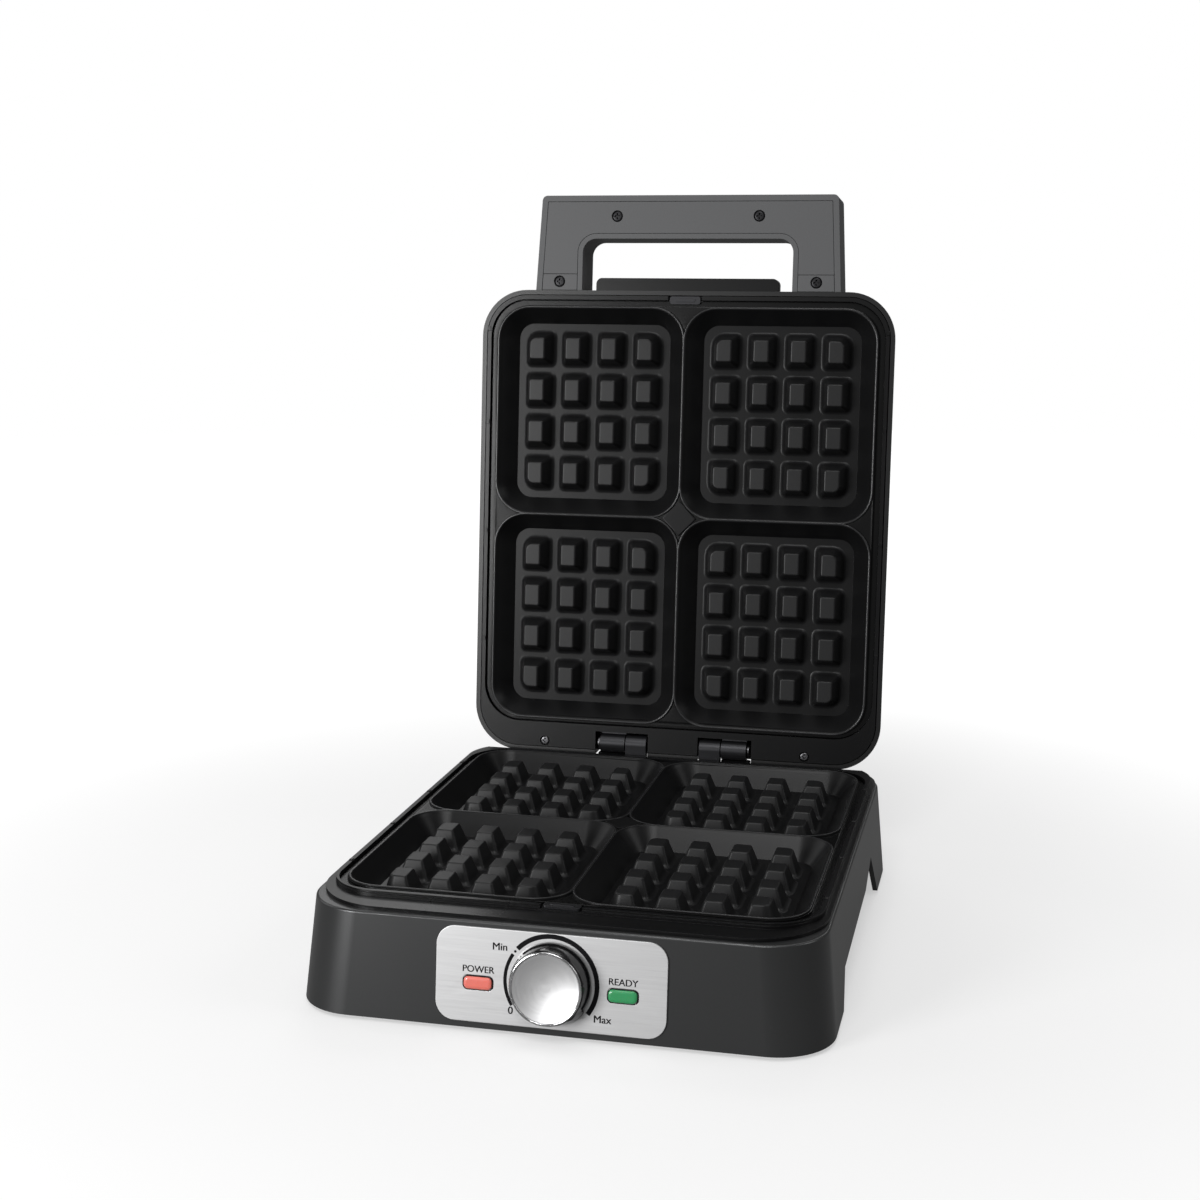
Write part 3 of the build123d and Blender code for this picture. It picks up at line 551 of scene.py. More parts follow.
@cache
def make_finishes():
    """All finishes of the machine: one for each material slot, and those of a few pieces."""
    colours = bpy.context.scene.waffle_finish
    black, silver, coating = colours.black, colours.silver, colours.coating
    even = (700.0, 700.0, 700.0)
    # The pegs, the land and the beads are the pans' own non-stick coating, in lighter and darker copies that
    # stand for light. The pegs are painted lighter as painted light, the land is painted darker as painted
    # shade, and the beads are painted three times lighter as a painted highlight.
    pegs, land, bead = ([share * value for value in coating] for share in (1.5, 0.4, 3))
    lens = {
        "Coat_Weight": 0.5, "Coat_Roughness": 0.1, "Subsurface_Weight": 0.25, "Subsurface_Scale": 0.002
    }
    return {
        "housing_grey": grained(
            "housing_paint", colours.housing, 0.30, 1600, 0.000008, 0.10, 0.10,
            Metallic=0.7, Coat_Weight=0.12, Coat_Roughness=0.22,
        ),
        "handle_grey": grained("handle_plastic", colours.handle, 0.52, 1400, 0.00003, 0.08, 0.12),
        "black_plastic": grained("frame_plastic", black, 0.28, 1500, 0.00001, 0.15, Specular_IOR_Level=0.35),
        "lid_black": grained(
            "lid_shell_plastic", black, 0.34, 1100, 0.000008, 0.15, Coat_Weight=0.1, Coat_Roughness=0.2
        ),
        "gloss_black": grained(
            "dial_skirt_plastic", black, 0.16, 700, 0.000004, 0.1, Coat_Weight=0.6, Coat_Roughness=0.06
        ),
        "nonstick": grained(
            "nonstick_coating", coating, 0.32, 1300, 0.000014, 0.22, 0.35, Specular_IOR_Level=0.22
        ),
        # Pegs: the coating painted lighter, as painted light on them.
        "pegs": grained("nonstick_pegs_painted_light", pegs, 0.40, 1300, 0.00002, 0.25, 0.5, Specular_IOR_Level=0.3),
        # Land: the coating painted darker, as painted shade beside the beads.
        "land": grained("nonstick_land_painted_shade", land, 0.26, 1300, 0.00001, 0.2, 0.3, Specular_IOR_Level=0.3),
        # Beads: the coating painted three times lighter, as a painted highlight along their crests.
        "bead": grained("nonstick_bead_painted_highlight", bead, 0.24, 1300, 0.000006, 0.2, 0.3),
        "element_steel": brushed("element_sheath", (0.24, 0.21, 0.20), 0.42, even, 0.5),
        "sheet_steel": brushed("sheet_steel", (0.56, 0.56, 0.57), 0.30, (60.0, 1800.0, 1800.0)),
        "black_steel": grained("black_zinc", (0.035, 0.035, 0.038), 0.34, 1800, 0.00001, 0.2, Metallic=0.7),
        "screw_steel": brushed("dark_zinc_plate", (0.14, 0.14, 0.145), 0.34, even, 0.3),
        "dark_screw": grained("black_oxide", (0.02, 0.02, 0.022), 0.36, 2200, 0.00001, 0.2, Metallic=0.6),
        "brushed_panel": brushed(
            "brushed_panel", silver, 0.42, (30.0, 3600.0, 3600.0), 0.16, 0.000004, Metallic=0.55
        ),
        "knob_chrome": brushed("polished_ring", (0.86, 0.86, 0.87), 0.10, even, 0.05, 0.000001),
        "knob_face": brushed(
            "spun_face", (0.84, 0.84, 0.845), 0.40, (5200.0, 0.8, 400.0), 0.14, 0.000003, round_the_dial
        ),
        "red_lens": grained("power_lens", colours.power, 0.30, 500, 0.00002, 0.1, **lens),
        "green_lens": grained("ready_lens", colours.ready, 0.30, 500, 0.00002, 0.1, **lens),
        "lamp_glass": grained("neon_lamp", (0.75, 0.42, 0.28), 0.12, 300, 0.00001, 0.1, Coat_Weight=0.8),
        "ceramic_white": grained("unglazed_ceramic", (0.74, 0.71, 0.65), 0.62, 700, 0.00004, 0.1, 0.1),
        "wire_cover": grained("silicone_sleeve", (0.45, 0.03, 0.02), 0.48, 900, 0.00002, 0.1),
        "fuse_metal": brushed("fuse_case", (0.6, 0.6, 0.58), 0.35, even, 0.2),
        "foot_rubber": grained("foot_rubber", (0.018, 0.018, 0.018), 0.72, 1200, 0.00005, 0.15, 0.2),
        "ink": grained(
            "printed_ink", (0.006, 0.006, 0.007), 0.6, 2600, 0.000004, 0.1, Specular_IOR_Level=0.1
        ),
    }


def finish_of(name):
    """The finish of a material slot or piece, all of them made at the first call."""
    return make_finishes()[name]


# ------------------------------------------------------------------ geometry node trees
def instance_tree(name, inputs, build):
    """Geometry node tree with named inputs that ends in Realize Instances and Set Material.
    build(tree, inputs) returns the instances."""
    tree = bpy.data.node_groups.new(name, "GeometryNodeTree")
    tree.interface.new_socket(name="Geometry", in_out="INPUT", socket_type="NodeSocketGeometry")
    for label, kind, value in (*inputs, ("Finish", "NodeSocketMaterial", None)):
        socket = tree.interface.new_socket(name=label, in_out="INPUT", socket_type=kind)
        if value is not None:
            socket.default_value = value
    tree.interface.new_socket(name="Geometry", in_out="OUTPUT", socket_type="NodeSocketGeometry")
    entry, leave = tree.nodes.new("NodeGroupInput"), tree.nodes.new("NodeGroupOutput")
    instances = build(tree, entry.outputs)
    real = add(tree, "GeometryNodeRealizeInstances", {0: instances})
    coloured = add(tree, "GeometryNodeSetMaterial", {
        "Geometry": real.outputs[0], "Material": entry.outputs["Finish"],
    })
    tree.links.new(coloured.outputs[0], leave.inputs[0])
    return tree


def grown(tree, carrier, values, place):
    """Mesh that a tree makes from a carrier mesh, in its place; values are its named inputs."""
    holder = bpy.data.objects.new("carrier", carrier)
    bpy.context.scene.collection.objects.link(holder)
    modifier = holder.modifiers.new("grow", "NODES")
    modifier.node_group = tree
    for item in tree.interface.items_tree:
        if item.item_type == "SOCKET" and item.in_out == "INPUT" and item.name in values:
            modifier[item.identifier] = values[item.name]
    bpy.context.view_layer.update()
    evaluated = holder.evaluated_get(bpy.context.evaluated_depsgraph_get())
    mesh = bpy.data.meshes.new_from_object(evaluated)
    holder.modifiers.remove(modifier)
    bpy.data.objects.remove(holder)
    mesh.transform(place)
    return mesh


def peg_tree(pegs):
    """Pegs on a grid in every cell. The peg set holds a plain peg and the four corner pegs."""

    def build(tree, socket):
        step_x = maths(tree, "SUBTRACT", socket["Columns"], 1.0)
        step_y = maths(tree, "SUBTRACT", socket["Rows"], 1.0)
        size_x = maths(tree, "MULTIPLY", step_x, socket["Pitch Across"])
        size_y = maths(tree, "MULTIPLY", step_y, socket["Pitch Along"])
        grid = add(tree, "GeometryNodeMeshGrid", {
            "Size X": size_x, "Size Y": size_y, "Vertices X": socket["Columns"], "Vertices Y": socket["Rows"],
        }).outputs["Mesh"]
        position = add(tree, "GeometryNodeInputPosition").outputs[0]
        split = add(tree, "ShaderNodeSeparateXYZ", {0: position}).outputs
        outer = [
            maths(tree, "GREATER_THAN", maths(tree, "ABSOLUTE", place), maths(tree, "MULTIPLY", size, 0.45))
            for place, size in ((split[0], size_x), (split[1], size_y))
        ]
        right = maths(tree, "GREATER_THAN", split[0], 0.0)
        rear = maths(tree, "MULTIPLY", maths(tree, "GREATER_THAN", split[1], 0.0), 2.0)
        corner = maths(tree, "ADD", maths(tree, "ADD", right, rear), 1.0)
        which = maths(tree, "MULTIPLY", maths(tree, "MULTIPLY", *outer), corner)
        pegs_in = add(tree, "GeometryNodeCollectionInfo", {
            "Collection": socket["Peg Set"], "Separate Children": True, "Reset Children": True,
        }).outputs[0]
        cell = add(tree, "GeometryNodeInstanceOnPoints", {
            "Points": grid, "Instance": pegs_in, "Pick Instance": True, "Instance Index": which,
        }).outputs[0]
        return add(tree, "GeometryNodeInstanceOnPoints", {
            "Points": socket["Geometry"], "Instance": cell,
        }).outputs[0]

    return instance_tree("peg_rows", (
        ("Peg Set", "NodeSocketCollection", None),
        ("Columns", "NodeSocketInt", pegs.columns), ("Rows", "NodeSocketInt", pegs.rows),
        ("Pitch Across", FLOAT, pegs.pitch_x), ("Pitch Along", FLOAT, pegs.pitch_y),
    ), build)


@cache
def fitting_tree():
    """One small fitting on every point of the carrier."""

    def build(tree, socket):
        fitting = add(tree, "GeometryNodeObjectInfo", {"Object": socket["Fitting"]}).outputs["Geometry"]
        return add(tree, "GeometryNodeInstanceOnPoints", {
            "Points": socket["Geometry"], "Instance": fitting, "Scale": socket["Scale"],
        }).outputs[0]

    inputs = (("Fitting", "NodeSocketObject", None), ("Scale", FLOAT, 1.0))
    return instance_tree("fittings", inputs, build)


def fittings(points, made, place, finish):
    """Copies of a fitting's shell on points, in their place."""
    model = bpy.data.objects.new("fitting", finished_mesh("fitting", made))
    carrier = bpy.data.meshes.new("points")
    carrier.from_pydata(points, [], [])
    mesh = grown(fitting_tree(), carrier, {"Fitting": model, "Finish": finish}, place)
    bpy.data.objects.remove(model)
    return mesh


# ------------------------------------------------------------------ cooking plates
plate_corner = 0.0217                       # corner radius of a plate's flange


def cell_middles(plate):
    """Centre of each of the four cells, the rear ones first."""
    rows = (plate.row_rear, plate.row_front)
    return [Vector((side * plate.cell_x, -row, 0)) for row in rows for side in (-1, 1)]


def cell_pan(plate, middle):
    """One cell's pan as a closed shell, its bead at height 0."""
    depth, sheet, collar = plate.depth, 0.0024, -0.0030
    spans = (
        (plate.floor_x, plate.mouth_x), (plate.floor_y, plate.mouth_y),
        (plate.floor_corner, plate.mouth_corner),
    )

    def loop(share, reach, height):
        """Outline part of the way from the floor to the mouth, a distance outside it."""
        half_x, half_y, corner = (low + share * (high - low) + reach for low, high in spans)
        return loop_about(middle, half_x, half_y, max(corner, 0.001), height)

    under = -depth - sheet
    outside = [loop(0, 0.0018, under), loop(0.05, 0.0022, under + 0.0006), loop(0.80, 0.0016, collar)]
    bead = [loop(1, reach, height) for reach, height in eased((
        (plate.bead, collar, 0), (plate.bead, 0, 0.0004), (0, 0, 0.0004), (-0.0010, -0.0012, 0),
    ))]
    inside = [loop(share, 0, height) for share, height in eased((
        (0.86, -0.0018, 0), (0, -depth, 0.0042), (-0.35, -depth, 0),
    ), steps=6)]
    return shell(outside + bead + inside)


def mouth_loop(plate, middle, reach, height):
    """Outline of a cell's mouth, a distance outside it."""
    return loop_about(
        middle, plate.mouth_x + reach, plate.mouth_y + reach, plate.mouth_corner + reach, height
    )


def cell_bead(plate, middle):
    """Ridge along the crest of one cell's bead; its bright line is a painted highlight, the coating painted
    three times lighter.
    """
    inner, outer, foot, crest, ease = 0.0002, 0.0011, -0.0004, 0.0001, 0.0003
    return shell([mouth_loop(plate, middle, reach, height) for reach, height in eased((
        (outer, foot, 0), (outer, crest, ease), (inner, crest, ease), (inner, foot, 0),
    ), closed=True)], ring=True)


def plate_outline(margin):
    """The plate's outline, a margin inside its flange."""
    return rounded_loop(
        plate_high.x - margin, -plate_low.y - margin, -plate_high.y + margin, plate_corner - margin * 0.6, 0
    )


def cast_plate(plate):
    """Flange and raised land, face up."""
    holes = [mouth_loop(plate, middle, plate.bead * 0.5, 0) for middle in cell_middles(plate)]
    top, overlap = -plate.flange_drop, 0.001
    flange = slab([plate_outline(0), *holes], top - plate.flange, top, 0.0003)
    land = slab([plate_outline(plate.edge_in), *holes], top - overlap, -plate.land, 0.0004)
    return joined(flange, land)


def centre_diamond(plate):
    """Raised diamond in the middle of the four cells."""
    middle = -(plate.row_rear + plate.row_front) / 2
    return shell([
        [Vector((reach * x, middle + reach * y, height)) for x, y in ((1, 0), (0, 1), (-1, 0), (0, -1))]
        for reach, height in eased(((0.0102, -0.0014, 0), (0.0100, 0.0001, 0.0004), (0.0088, 0.0001, 0)))
    ])


def peg_shell(pegs, depth, cut=None):
    """One peg, standing on the cell's floor; cut names the corner that is rounded off."""
    loops = []
    height_of_peg = depth - pegs.tip_drop
    fillet = (
        (-0.0004, 0.0016), (0.0, 0.0015), (0.00012, 0.0010), (0.0005, 0.00045), (0.0012, 0.0001),
        (0.0020, 0.0),
    )
    ease = ((0.0007, 0.0), (0.00025, -0.00013), (0.00005, -0.00042), (0, -0.0009))
    for height, reach in (*fillet, *((height_of_peg - drop, reach) for drop, reach in ease)):
        share = min(max(height / height_of_peg, 0), 1)
        half_x = (pegs.foot_x + share * (pegs.tip_x - pegs.foot_x)) / 2 + reach
        half_y = (pegs.foot_y + share * (pegs.tip_y - pegs.foot_y)) / 2 + reach
        sharper = 1 - 0.45 * share
        radii = [pegs.corner * sharper] * 4
        if cut is not None:
            radii[cut] = pegs.cut_corner * sharper
        radii = tuple(max(radius + reach, 0.0004) for radius in radii)
        loops.append(rounded_loop(half_x, half_y, -half_y, radii, height - depth, steps=4))
    return shell(loops)


class WAFFLE_OT_cooking_plates(bpy.types.Operator):
    """Casts the lower and upper cooking plate"""

    bl_idname = "waffle.cooking_plates"
    bl_label = "Cooking plates"

    def execute(self, context):
        plate = context.scene.waffle_plate
        middles = cell_middles(plate)
        made = cast_plate(plate)
        pans = joined(centre_diamond(plate), *(cell_pan(plate, middle) for middle in middles))
        beads = joined(*(cell_bead(plate, middle) for middle in middles))
        for name, body, place in plate_places():
            kind = (place, body, "nonstick")
            # The cast plate's flange and land take the coating painted darker, as painted shade.
            shell_piece(f"{name}_cast_plate", made, *kind, [f"{name}_plate"], finish="land", sharp=38)
            shell_piece(f"{name}_cell_pans", pans, *kind, sharp=38)
            # The beads take the coating painted lighter, as a painted highlight.
            shell_piece(f"{name}_cell_beads", beads, *kind, finish="bead", sharp=60)
        return {"FINISHED"}


def plate_places():
    """Name, body and place of each plate: the upper one is the lower one turned over."""
    lower_face = Vector((0, 0, plate_high.z))
    upper_low, _ = seen_from("upper_plate", lid_place)
    upper_face = Vector((0, 0, upper_low.z))
    return (
        ("lower", "base", base_place @ Matrix.Translation(lower_face)),
        ("upper", "lid", lid_place @ Matrix.Translation(upper_face) @ half_turn),
    )


class WAFFLE_OT_pegs(bpy.types.Operator):
    """Sets the rows of pegs in every cell of both plates"""

    bl_idname = "waffle.pegs"
    bl_label = "Pegs"

    def execute(self, context):
        plate, pegs = context.scene.waffle_plate, context.scene.waffle_pegs
        peg_set = bpy.data.collections.new("peg_set")
        # Plain first, then the corner at front left, front right, rear left and rear right.
        for number, cut in enumerate((None, 2, 3, 1, 0)):
            mesh = finished_mesh(f"peg_{number}", peg_shell(pegs, plate.depth, cut), sharp=50)
            peg_set.objects.link(bpy.data.objects.new(f"peg_{number}", mesh))
        tree = peg_tree(pegs)
        for name, body, place in plate_places():
            carrier = bpy.data.meshes.new("cells")
            carrier.from_pydata(cell_middles(plate), [], [])
            # The pegs take the coating painted lighter, as painted light.
            mesh = grown(tree, carrier, {"Peg Set": peg_set, "Finish": finish_of("pegs")}, place)
            piece(f"{name}_plate_pegs", mesh, body, finish_of("pegs"))
        for model in list(peg_set.objects):
            bpy.data.objects.remove(model)
        bpy.data.collections.remove(peg_set)
        return {"FINISHED"}


# ------------------------------------------------------------------ dial and panel
class WAFFLE_OT_dial(bpy.types.Operator):
    """Turns the dial: gloss skirt with a pointer, polished ring and spun face"""

    bl_idname = "waffle.dial"
    bl_label = "Dial"

    def execute(self, context):
        dial = context.scene.waffle_dial
        half_pointer = dial.pointer_width / dial.skirt / 2

        def pointer(angle):
            away = (angle - dial.pointer_angle + pi) % (2 * pi) - pi
            share = min(abs(away) / half_pointer, 1)
            return dial.pointer * (1 - share ** 4) if share < 1 else 0

        lean = dial.skirt - dial.skirt_face
        rise = dial.face - dial.back
        hollow, well, wall = dial.ring - dial.ring_width * 0.8, 0.0028, 0.0025
        inner = [circle_loop(dial.skirt - wall, dial.back + depth, 160) for depth in (rise * 0.7, 0)]
        outer = []
        for radius, height in eased((
            (dial.skirt - 0.0012, dial.back, 0), (dial.skirt, dial.back, 0.0004),
            (dial.skirt - lean * 0.5, dial.back + rise * 0.6, 0),
            (dial.skirt_face, dial.face, 0.0006), (hollow, dial.face, 0), (hollow, dial.face - well, 0),
        )):
            share = (height - dial.back) / rise
            fade = min(max(1 - share * abs(share), 0), 1)
            outer.append(circle_loop(radius, height, 160, lambda angle: pointer(angle) * fade))
        shell_piece("dial_skirt", shell(inner + outer), dial_place, "dial", "gloss_black", ["knob_body"])

        inner_ring, root = dial.ring - dial.ring_width, dial.face - 0.0003
        top = dial.face + dial.ring_height
        ring = shell([circle_loop(radius, height) for radius, height in eased((
            (dial.ring, root, 0), (dial.ring, top, 0.00045), (inner_ring, top, 0.0004),
            (inner_ring - 0.0002, root, 0),
        ), closed=True)], ring=True)
        shell_piece("dial_ring", ring, dial_place, "dial", "knob_chrome", ["knob_ring"])

        rim, edge = dial.face + dial.ring_height * 0.62, inner_ring - 0.0001
        profile = [(edge, dial.face - 0.0024), (edge, rim - 0.0002)]
        for step in range(12):
            share = 1 - step / 12
            profile.append((inner_ring * share * 0.985, rim - dial.dish * (1 - share ** 2)))
        face = shell([circle_loop(radius, height) for radius, height in profile])
        shell_piece("dial_face", face, dial_place, "dial", "knob_face", ["knob_cap"])
        return {"FINISHED"}


panel_low, panel_high = seen_from("control_panel", dial_place)
panel_middle = (panel_low + panel_high) / 2
panel_half = (panel_high - panel_low) / 2
lens_middles = {
    name: sum(seen_from(name, dial_place), Vector()) / 2 for name in ("power_light_lens", "ready_light_lens")
}


def lens_loop(context, middle, reach, height):
    """Outline round a lens in the panel's axes, a distance outside its edge."""
    lights = context.scene.waffle_lights
    return loop_about(
        middle, lights.lens_x + reach, lights.lens_y + reach, lights.corner + reach * 0.6, height, 6
    )


class WAFFLE_OT_panel(bpy.types.Operator):
    """Makes the brushed control panel"""

    bl_idname = "waffle.panel"
    bl_label = "Control panel"

    def execute(self, context):
        corner, shaft_hole = 0.009, 0.005
        outline = loop_about(panel_middle, panel_half.x, panel_half.y, corner, 0)
        edging = context.scene.waffle_lights.surround
        windows = [lens_loop(context, middle, edging, 0) for middle in lens_middles.values()]
        sheet = slab([outline, circle_loop(shaft_hole, 0, 48), *windows], 0, panel_high.z, 0.00025)
        shell_piece("brushed_control_panel", sheet, dial_place, "base", "brushed_panel", ["control_panel"])
        return {"FINISHED"}


class WAFFLE_OT_lights(bpy.types.Operator):
    """Makes the lenses of the power light and the ready light"""

    bl_idname = "waffle.lights"
    bl_label = "Light lenses"

    def execute(self, context):
        edging = context.scene.waffle_lights.surround
        root, crest = panel_high.z - 0.0008, panel_high.z + 0.0003
        for (name, middle), slot in zip(lens_middles.items(), ("red_lens", "green_lens")):
            low, high = seen_from(name, dial_place)
            top = high.z + 0.0001
            lens = shell([lens_loop(context, middle, reach, height) for reach, height in eased((
                (-0.0003, low.z, 0), (0, low.z, 0.0003), (0, high.z - 0.0002, 0.0007),
                (-0.0012, top, 0.0003), (-0.0019, top, 0),
            ), steps=4)])
            shell_piece(f"{name}_cap", lens, dial_place, "base", slot, [name])
            surround = shell([lens_loop(context, middle, reach, height) for reach, height in eased((
                (edging, root, 0), (edging, crest, 0.0002), (0, crest, 0.0002), (0, root, 0),
            ), closed=True)], ring=True)
            shell_piece(
                f"{name}_surround", surround, dial_place, "base", "black_plastic", finish="gloss_black"
            )
        return {"FINISHED"}


def arc_band(radius, width, start, end, thickness, steps=72):
    """Flat band along an arc, standing on height 0."""
    inner, outer, up = radius - width / 2, radius + width / 2, Vector((0, 0, thickness))
    rows = []
    for step in range(steps + 1):
        way = round_the_axis(start + (end - start) * step / steps)
        rows.append([way * inner, way * outer, way * outer + up, way * inner + up])
    return shell(rows)


def plain_word(text, size, thickness):
    """Word in thin strokes, centred on the origin and standing on height 0."""
    curve = bpy.data.curves.new("word", "FONT")
    curve.body, curve.size = text, size
    curve.align_x, curve.align_y = "CENTER", "CENTER"
    curve.extrude = thickness / 2
    return curve_shell(curve, thickness / 2)


def words(text, size, x, y, thickness):
    """Printed word, centred on a point, in bold from three copies side by side."""
    copies = []
    for step in (-1, 0, 1):
        points, faces = plain_word(text, size, thickness * (1 + 0.1 * step))
        copies.append((shifted(points, x + step * 0.018 * size, y), faces))
    return joined(*copies)


class WAFFLE_OT_print(bpy.types.Operator):
    """Prints the scale and the words on the control panel"""

    bl_idname = "waffle.print"
    bl_label = "Panel print"

    def execute(self, context):
        ink = context.scene.waffle_print
        gap, tail, dot_radius, word_rise = radians(4.5), radians(9), 0.0006, 0.0062
        zero = ink.maximum - radians(joints["thermostat_dial"]["range_deg"][0])
        thick = arc_band(ink.scale_radius, ink.scale_width, ink.minimum - gap, ink.maximum, ink.ink)
        lead = arc_band(ink.scale_radius, ink.lead_width, zero - tail, ink.minimum + gap, ink.ink)
        start = ink.scale_radius * round_the_axis(ink.minimum)
        circles = [circle_loop(dot_radius, height, 20) for height in (0, ink.ink)]
        dot = shell([shifted(circle, start.x, start.y) for circle in circles])
        marks = [words(text, ink.mark, x, y, ink.ink) for text, x, y in (
            ("Min", -0.0243, 0.0147), ("Max", 0.0244, -0.0146), ("0", -0.0187, -0.0144),
        )]
        for middle, text in zip(lens_middles.values(), ("POWER", "READY")):
            marks.append(words(text, ink.word, middle.x, middle.y + word_rise, ink.ink))
        made = joined(thick, lead, dot, *marks)
        face = dial_place @ Matrix.Translation((0, 0, panel_high.z))
        shell_piece("panel_print", made, face, "base", "black_plastic", finish="ink")
        return {"FINISHED"}


# ------------------------------------------------------------------ screws and rim stops
def cross_head(radius, height):
    """Screw head with a cross recess, its underside at height 0."""
    blade, reach, floor = 0.17 * radius, 0.58 * radius, 0.35 * height
    outer = [circle_loop(radius * share, height * rise, 32) for share, rise in (
        (0.96, 0.0), (1.0, 0.06), (1.0, 0.45), (0.93, 0.78), (0.80, 0.96), (0.68, 1.0),
    )]

    def cross(share, level):
        """Cross-shaped loop of 32 points, so that it joins the head's circles."""
        loop = []
        for step in range(32):
            along = (step + 4) % 8 - 4
            waist = blade / max(abs(sin(along * pi / 16)), 0.2)
            limit = reach if abs(along) <= 1 else min(reach, waist)
            loop.append(round_the_axis(2 * pi * step / 32) * limit * share + Vector((0, 0, level)))
        return loop

    return shell([*outer, cross(1.0, height * 0.99), cross(0.72, floor)])


class WAFFLE_OT_screws(bpy.types.Operator):
    """Sets a cross-head screw at every visible screw of the frame"""

    bl_idname = "waffle.screws"
    bl_label = "Screws"

    def execute(self, context):
        rear_place = facing((0, 0, 0), (0, 1, 0))
        under_place = facing((0, 0, 0), (0, 0, -1))
        lid_under = lid_place @ Matrix.Rotation(pi, 4, "X")
        for name, node, body, slot, place, radius, height in (
            ("handle_screw_heads", "handle_screws", "lid", "dark_screw", lid_under, 0.0031, 0.0015),
            ("lid_screw_heads", "lid_screws", "lid", "screw_steel", lid_under, 0.0027, 0.0017),
            ("hinge_screw_heads", "base_hinge_screws", "base", "screw_steel", rear_place, 0.0032, 0.0018),
            ("base_screw_heads", "base_screws", "base", "screw_steel", under_place, 0.0032, 0.0018),
        ):
            _, high = seen_from(node, place)
            points = [Vector((middle.x, middle.y, high.z - height)) for middle in solids_of(node, place)]
            mesh = fittings(points, cross_head(radius, height), place, finish_of(slot))
            mesh.shade_smooth()
            mesh.set_sharp_from_angle(angle=radians(35))
            piece(name, mesh, body, finish_of(slot), [node])
        return {"FINISHED"}


class WAFFLE_OT_rim_stops(bpy.types.Operator):
    """Sets the small locating stops on the sides of both rims"""

    bl_idname = "waffle.rim_stops"
    bl_label = "Rim stops"

    def execute(self, context):
        stop = shell([
            rounded_loop(0.0008 + reach, 0.0012 + reach, -0.0012 - reach, 0.0004, height, steps=3)
            for reach, height in ((0.0002, -0.0008), (0.0002, 0.0002), (0.0, 0.00045))
        ])
        _, rim_high = seen_from("base_frame", base_place)
        lid_low, _ = seen_from("lid_frame", lid_place)
        rim_x = 0.1178
        finish = finish_of("black_plastic")
        for name, body, place, z, rows in (
            ("lower_rim_stops", "base", base_place, rim_high.z, (0.045, 0.105, 0.165, 0.225)),
            ("upper_rim_stops", "lid", lid_place @ half_turn, -lid_low.z, (0.060, 0.125, 0.190, 0.245)),
        ):
            points = [Vector((side * rim_x, -row, z)) for row in rows for side in (-1, 1)]
            piece(name, fittings(points, stop, place, finish), body, finish)
        return {"FINISHED"}


class WAFFLE_OT_hinge_shrouds(bpy.types.Operator):
    """Fills the housing's rear rim below the lid's knuckles"""

    bl_idname = "waffle.hinge_shrouds"
    bl_label = "Hinge shrouds"

    def execute(self, context):
        inner, outer, top = 0.0288, 0.0459, -0.0059
        _, rim = seen_from("base_housing", base_place)
        foot, ease = rim.z - 0.0005, 0.0004
        shroud = shell([
            rounded_loop(
                (outer - inner) / 2 - inset, 0.0020 - inset, 0.0004 - rim.y + inset, 0.0009, height, steps=4
            )
            for inset, height in ((0.0, foot), (0.0, top - ease), (ease, top))
        ])
        points = [Vector((side * (outer + inner) / 2, 0, 0)) for side in (-1, 1)]
        finish = finish_of("black_plastic")
        piece("hinge_shrouds", fittings(points, shroud, base_place, finish), "base", finish)
        return {"FINISHED"}


# ------------------------------------------------------------------ carried-over CAD parts
def smoothing_tree():
    """Shades a CAD part's faces smooth, for the weighted normals that follow."""
    tree = bpy.data.node_groups.new("smooth_faces", "GeometryNodeTree")
    for way in ("INPUT", "OUTPUT"):
        tree.interface.new_socket(name="Geometry", in_out=way, socket_type="NodeSocketGeometry")
    entry, leave = tree.nodes.new("NodeGroupInput"), tree.nodes.new("NodeGroupOutput")
    smooth = add(tree, "GeometryNodeSetShadeSmooth", {"Geometry": entry.outputs[0], "Shade Smooth": True})
    tree.links.new(smooth.outputs[0], leave.inputs[0])
    return tree


class WAFFLE_OT_cad_parts(bpy.types.Operator):
    """Eases the edges of the CAD parts that stay in view and gives each its finish"""

    bl_idname = "waffle.cad_parts"
    bl_label = "CAD parts"

    def execute(self, context):
        slots = {part["node"]: part["material_slot"] for part in frame["record"]["subparts"]}
        eases = {"base_housing": 0.0005, "lid_cover": 0.0005, "base_frame": 0.0004, "lid_frame": 0.0003}
        tree = smoothing_tree()
        for name, node in frame["nodes"].items():
            node.data.materials.clear()
            node.data.materials.append(finish_of(slots[name]))
            if node.hide_render:
                continue
            weld = node.modifiers.new("weld", "WELD")
            weld.merge_threshold = 2e-6
            flat = node.modifiers.new("flat", "DECIMATE")
            flat.decimate_type, flat.angle_limit = "DISSOLVE", radians(0.5)
            ease = node.modifiers.new("ease", "BEVEL")
            ease.width, ease.segments = eases.get(name, 0.0003), 2
            ease.limit_method, ease.angle_limit = "ANGLE", radians(32)
            node.modifiers.new("smooth", "NODES").node_group = tree
            node.modifiers.new("normals", "WEIGHTED_NORMAL").keep_sharp = False
        return {"FINISHED"}


# ------------------------------------------------------------------ floor, lights and camera
def softbox(name, azimuth, elevation, distance, size, power):
    """Square light that looks at the machine; azimuth 0 is in front and 90 to the right."""
    around, up = radians(azimuth), radians(elevation)
    target = Vector((0, 0, 0.12))
    way = Vector((sin(around) * cos(up), -cos(around) * cos(up), sin(up)))
    light = bpy.data.lights.new(name, "AREA")
    light.shape, light.size, light.energy = "SQUARE", size, power
    lamp = bpy.data.objects.new(name, light)
    bpy.context.scene.collection.objects.link(lamp)
    lamp.location = target + way * distance
    lamp.rotation_euler = (-way).to_track_quat("-Z", "Y").to_euler()


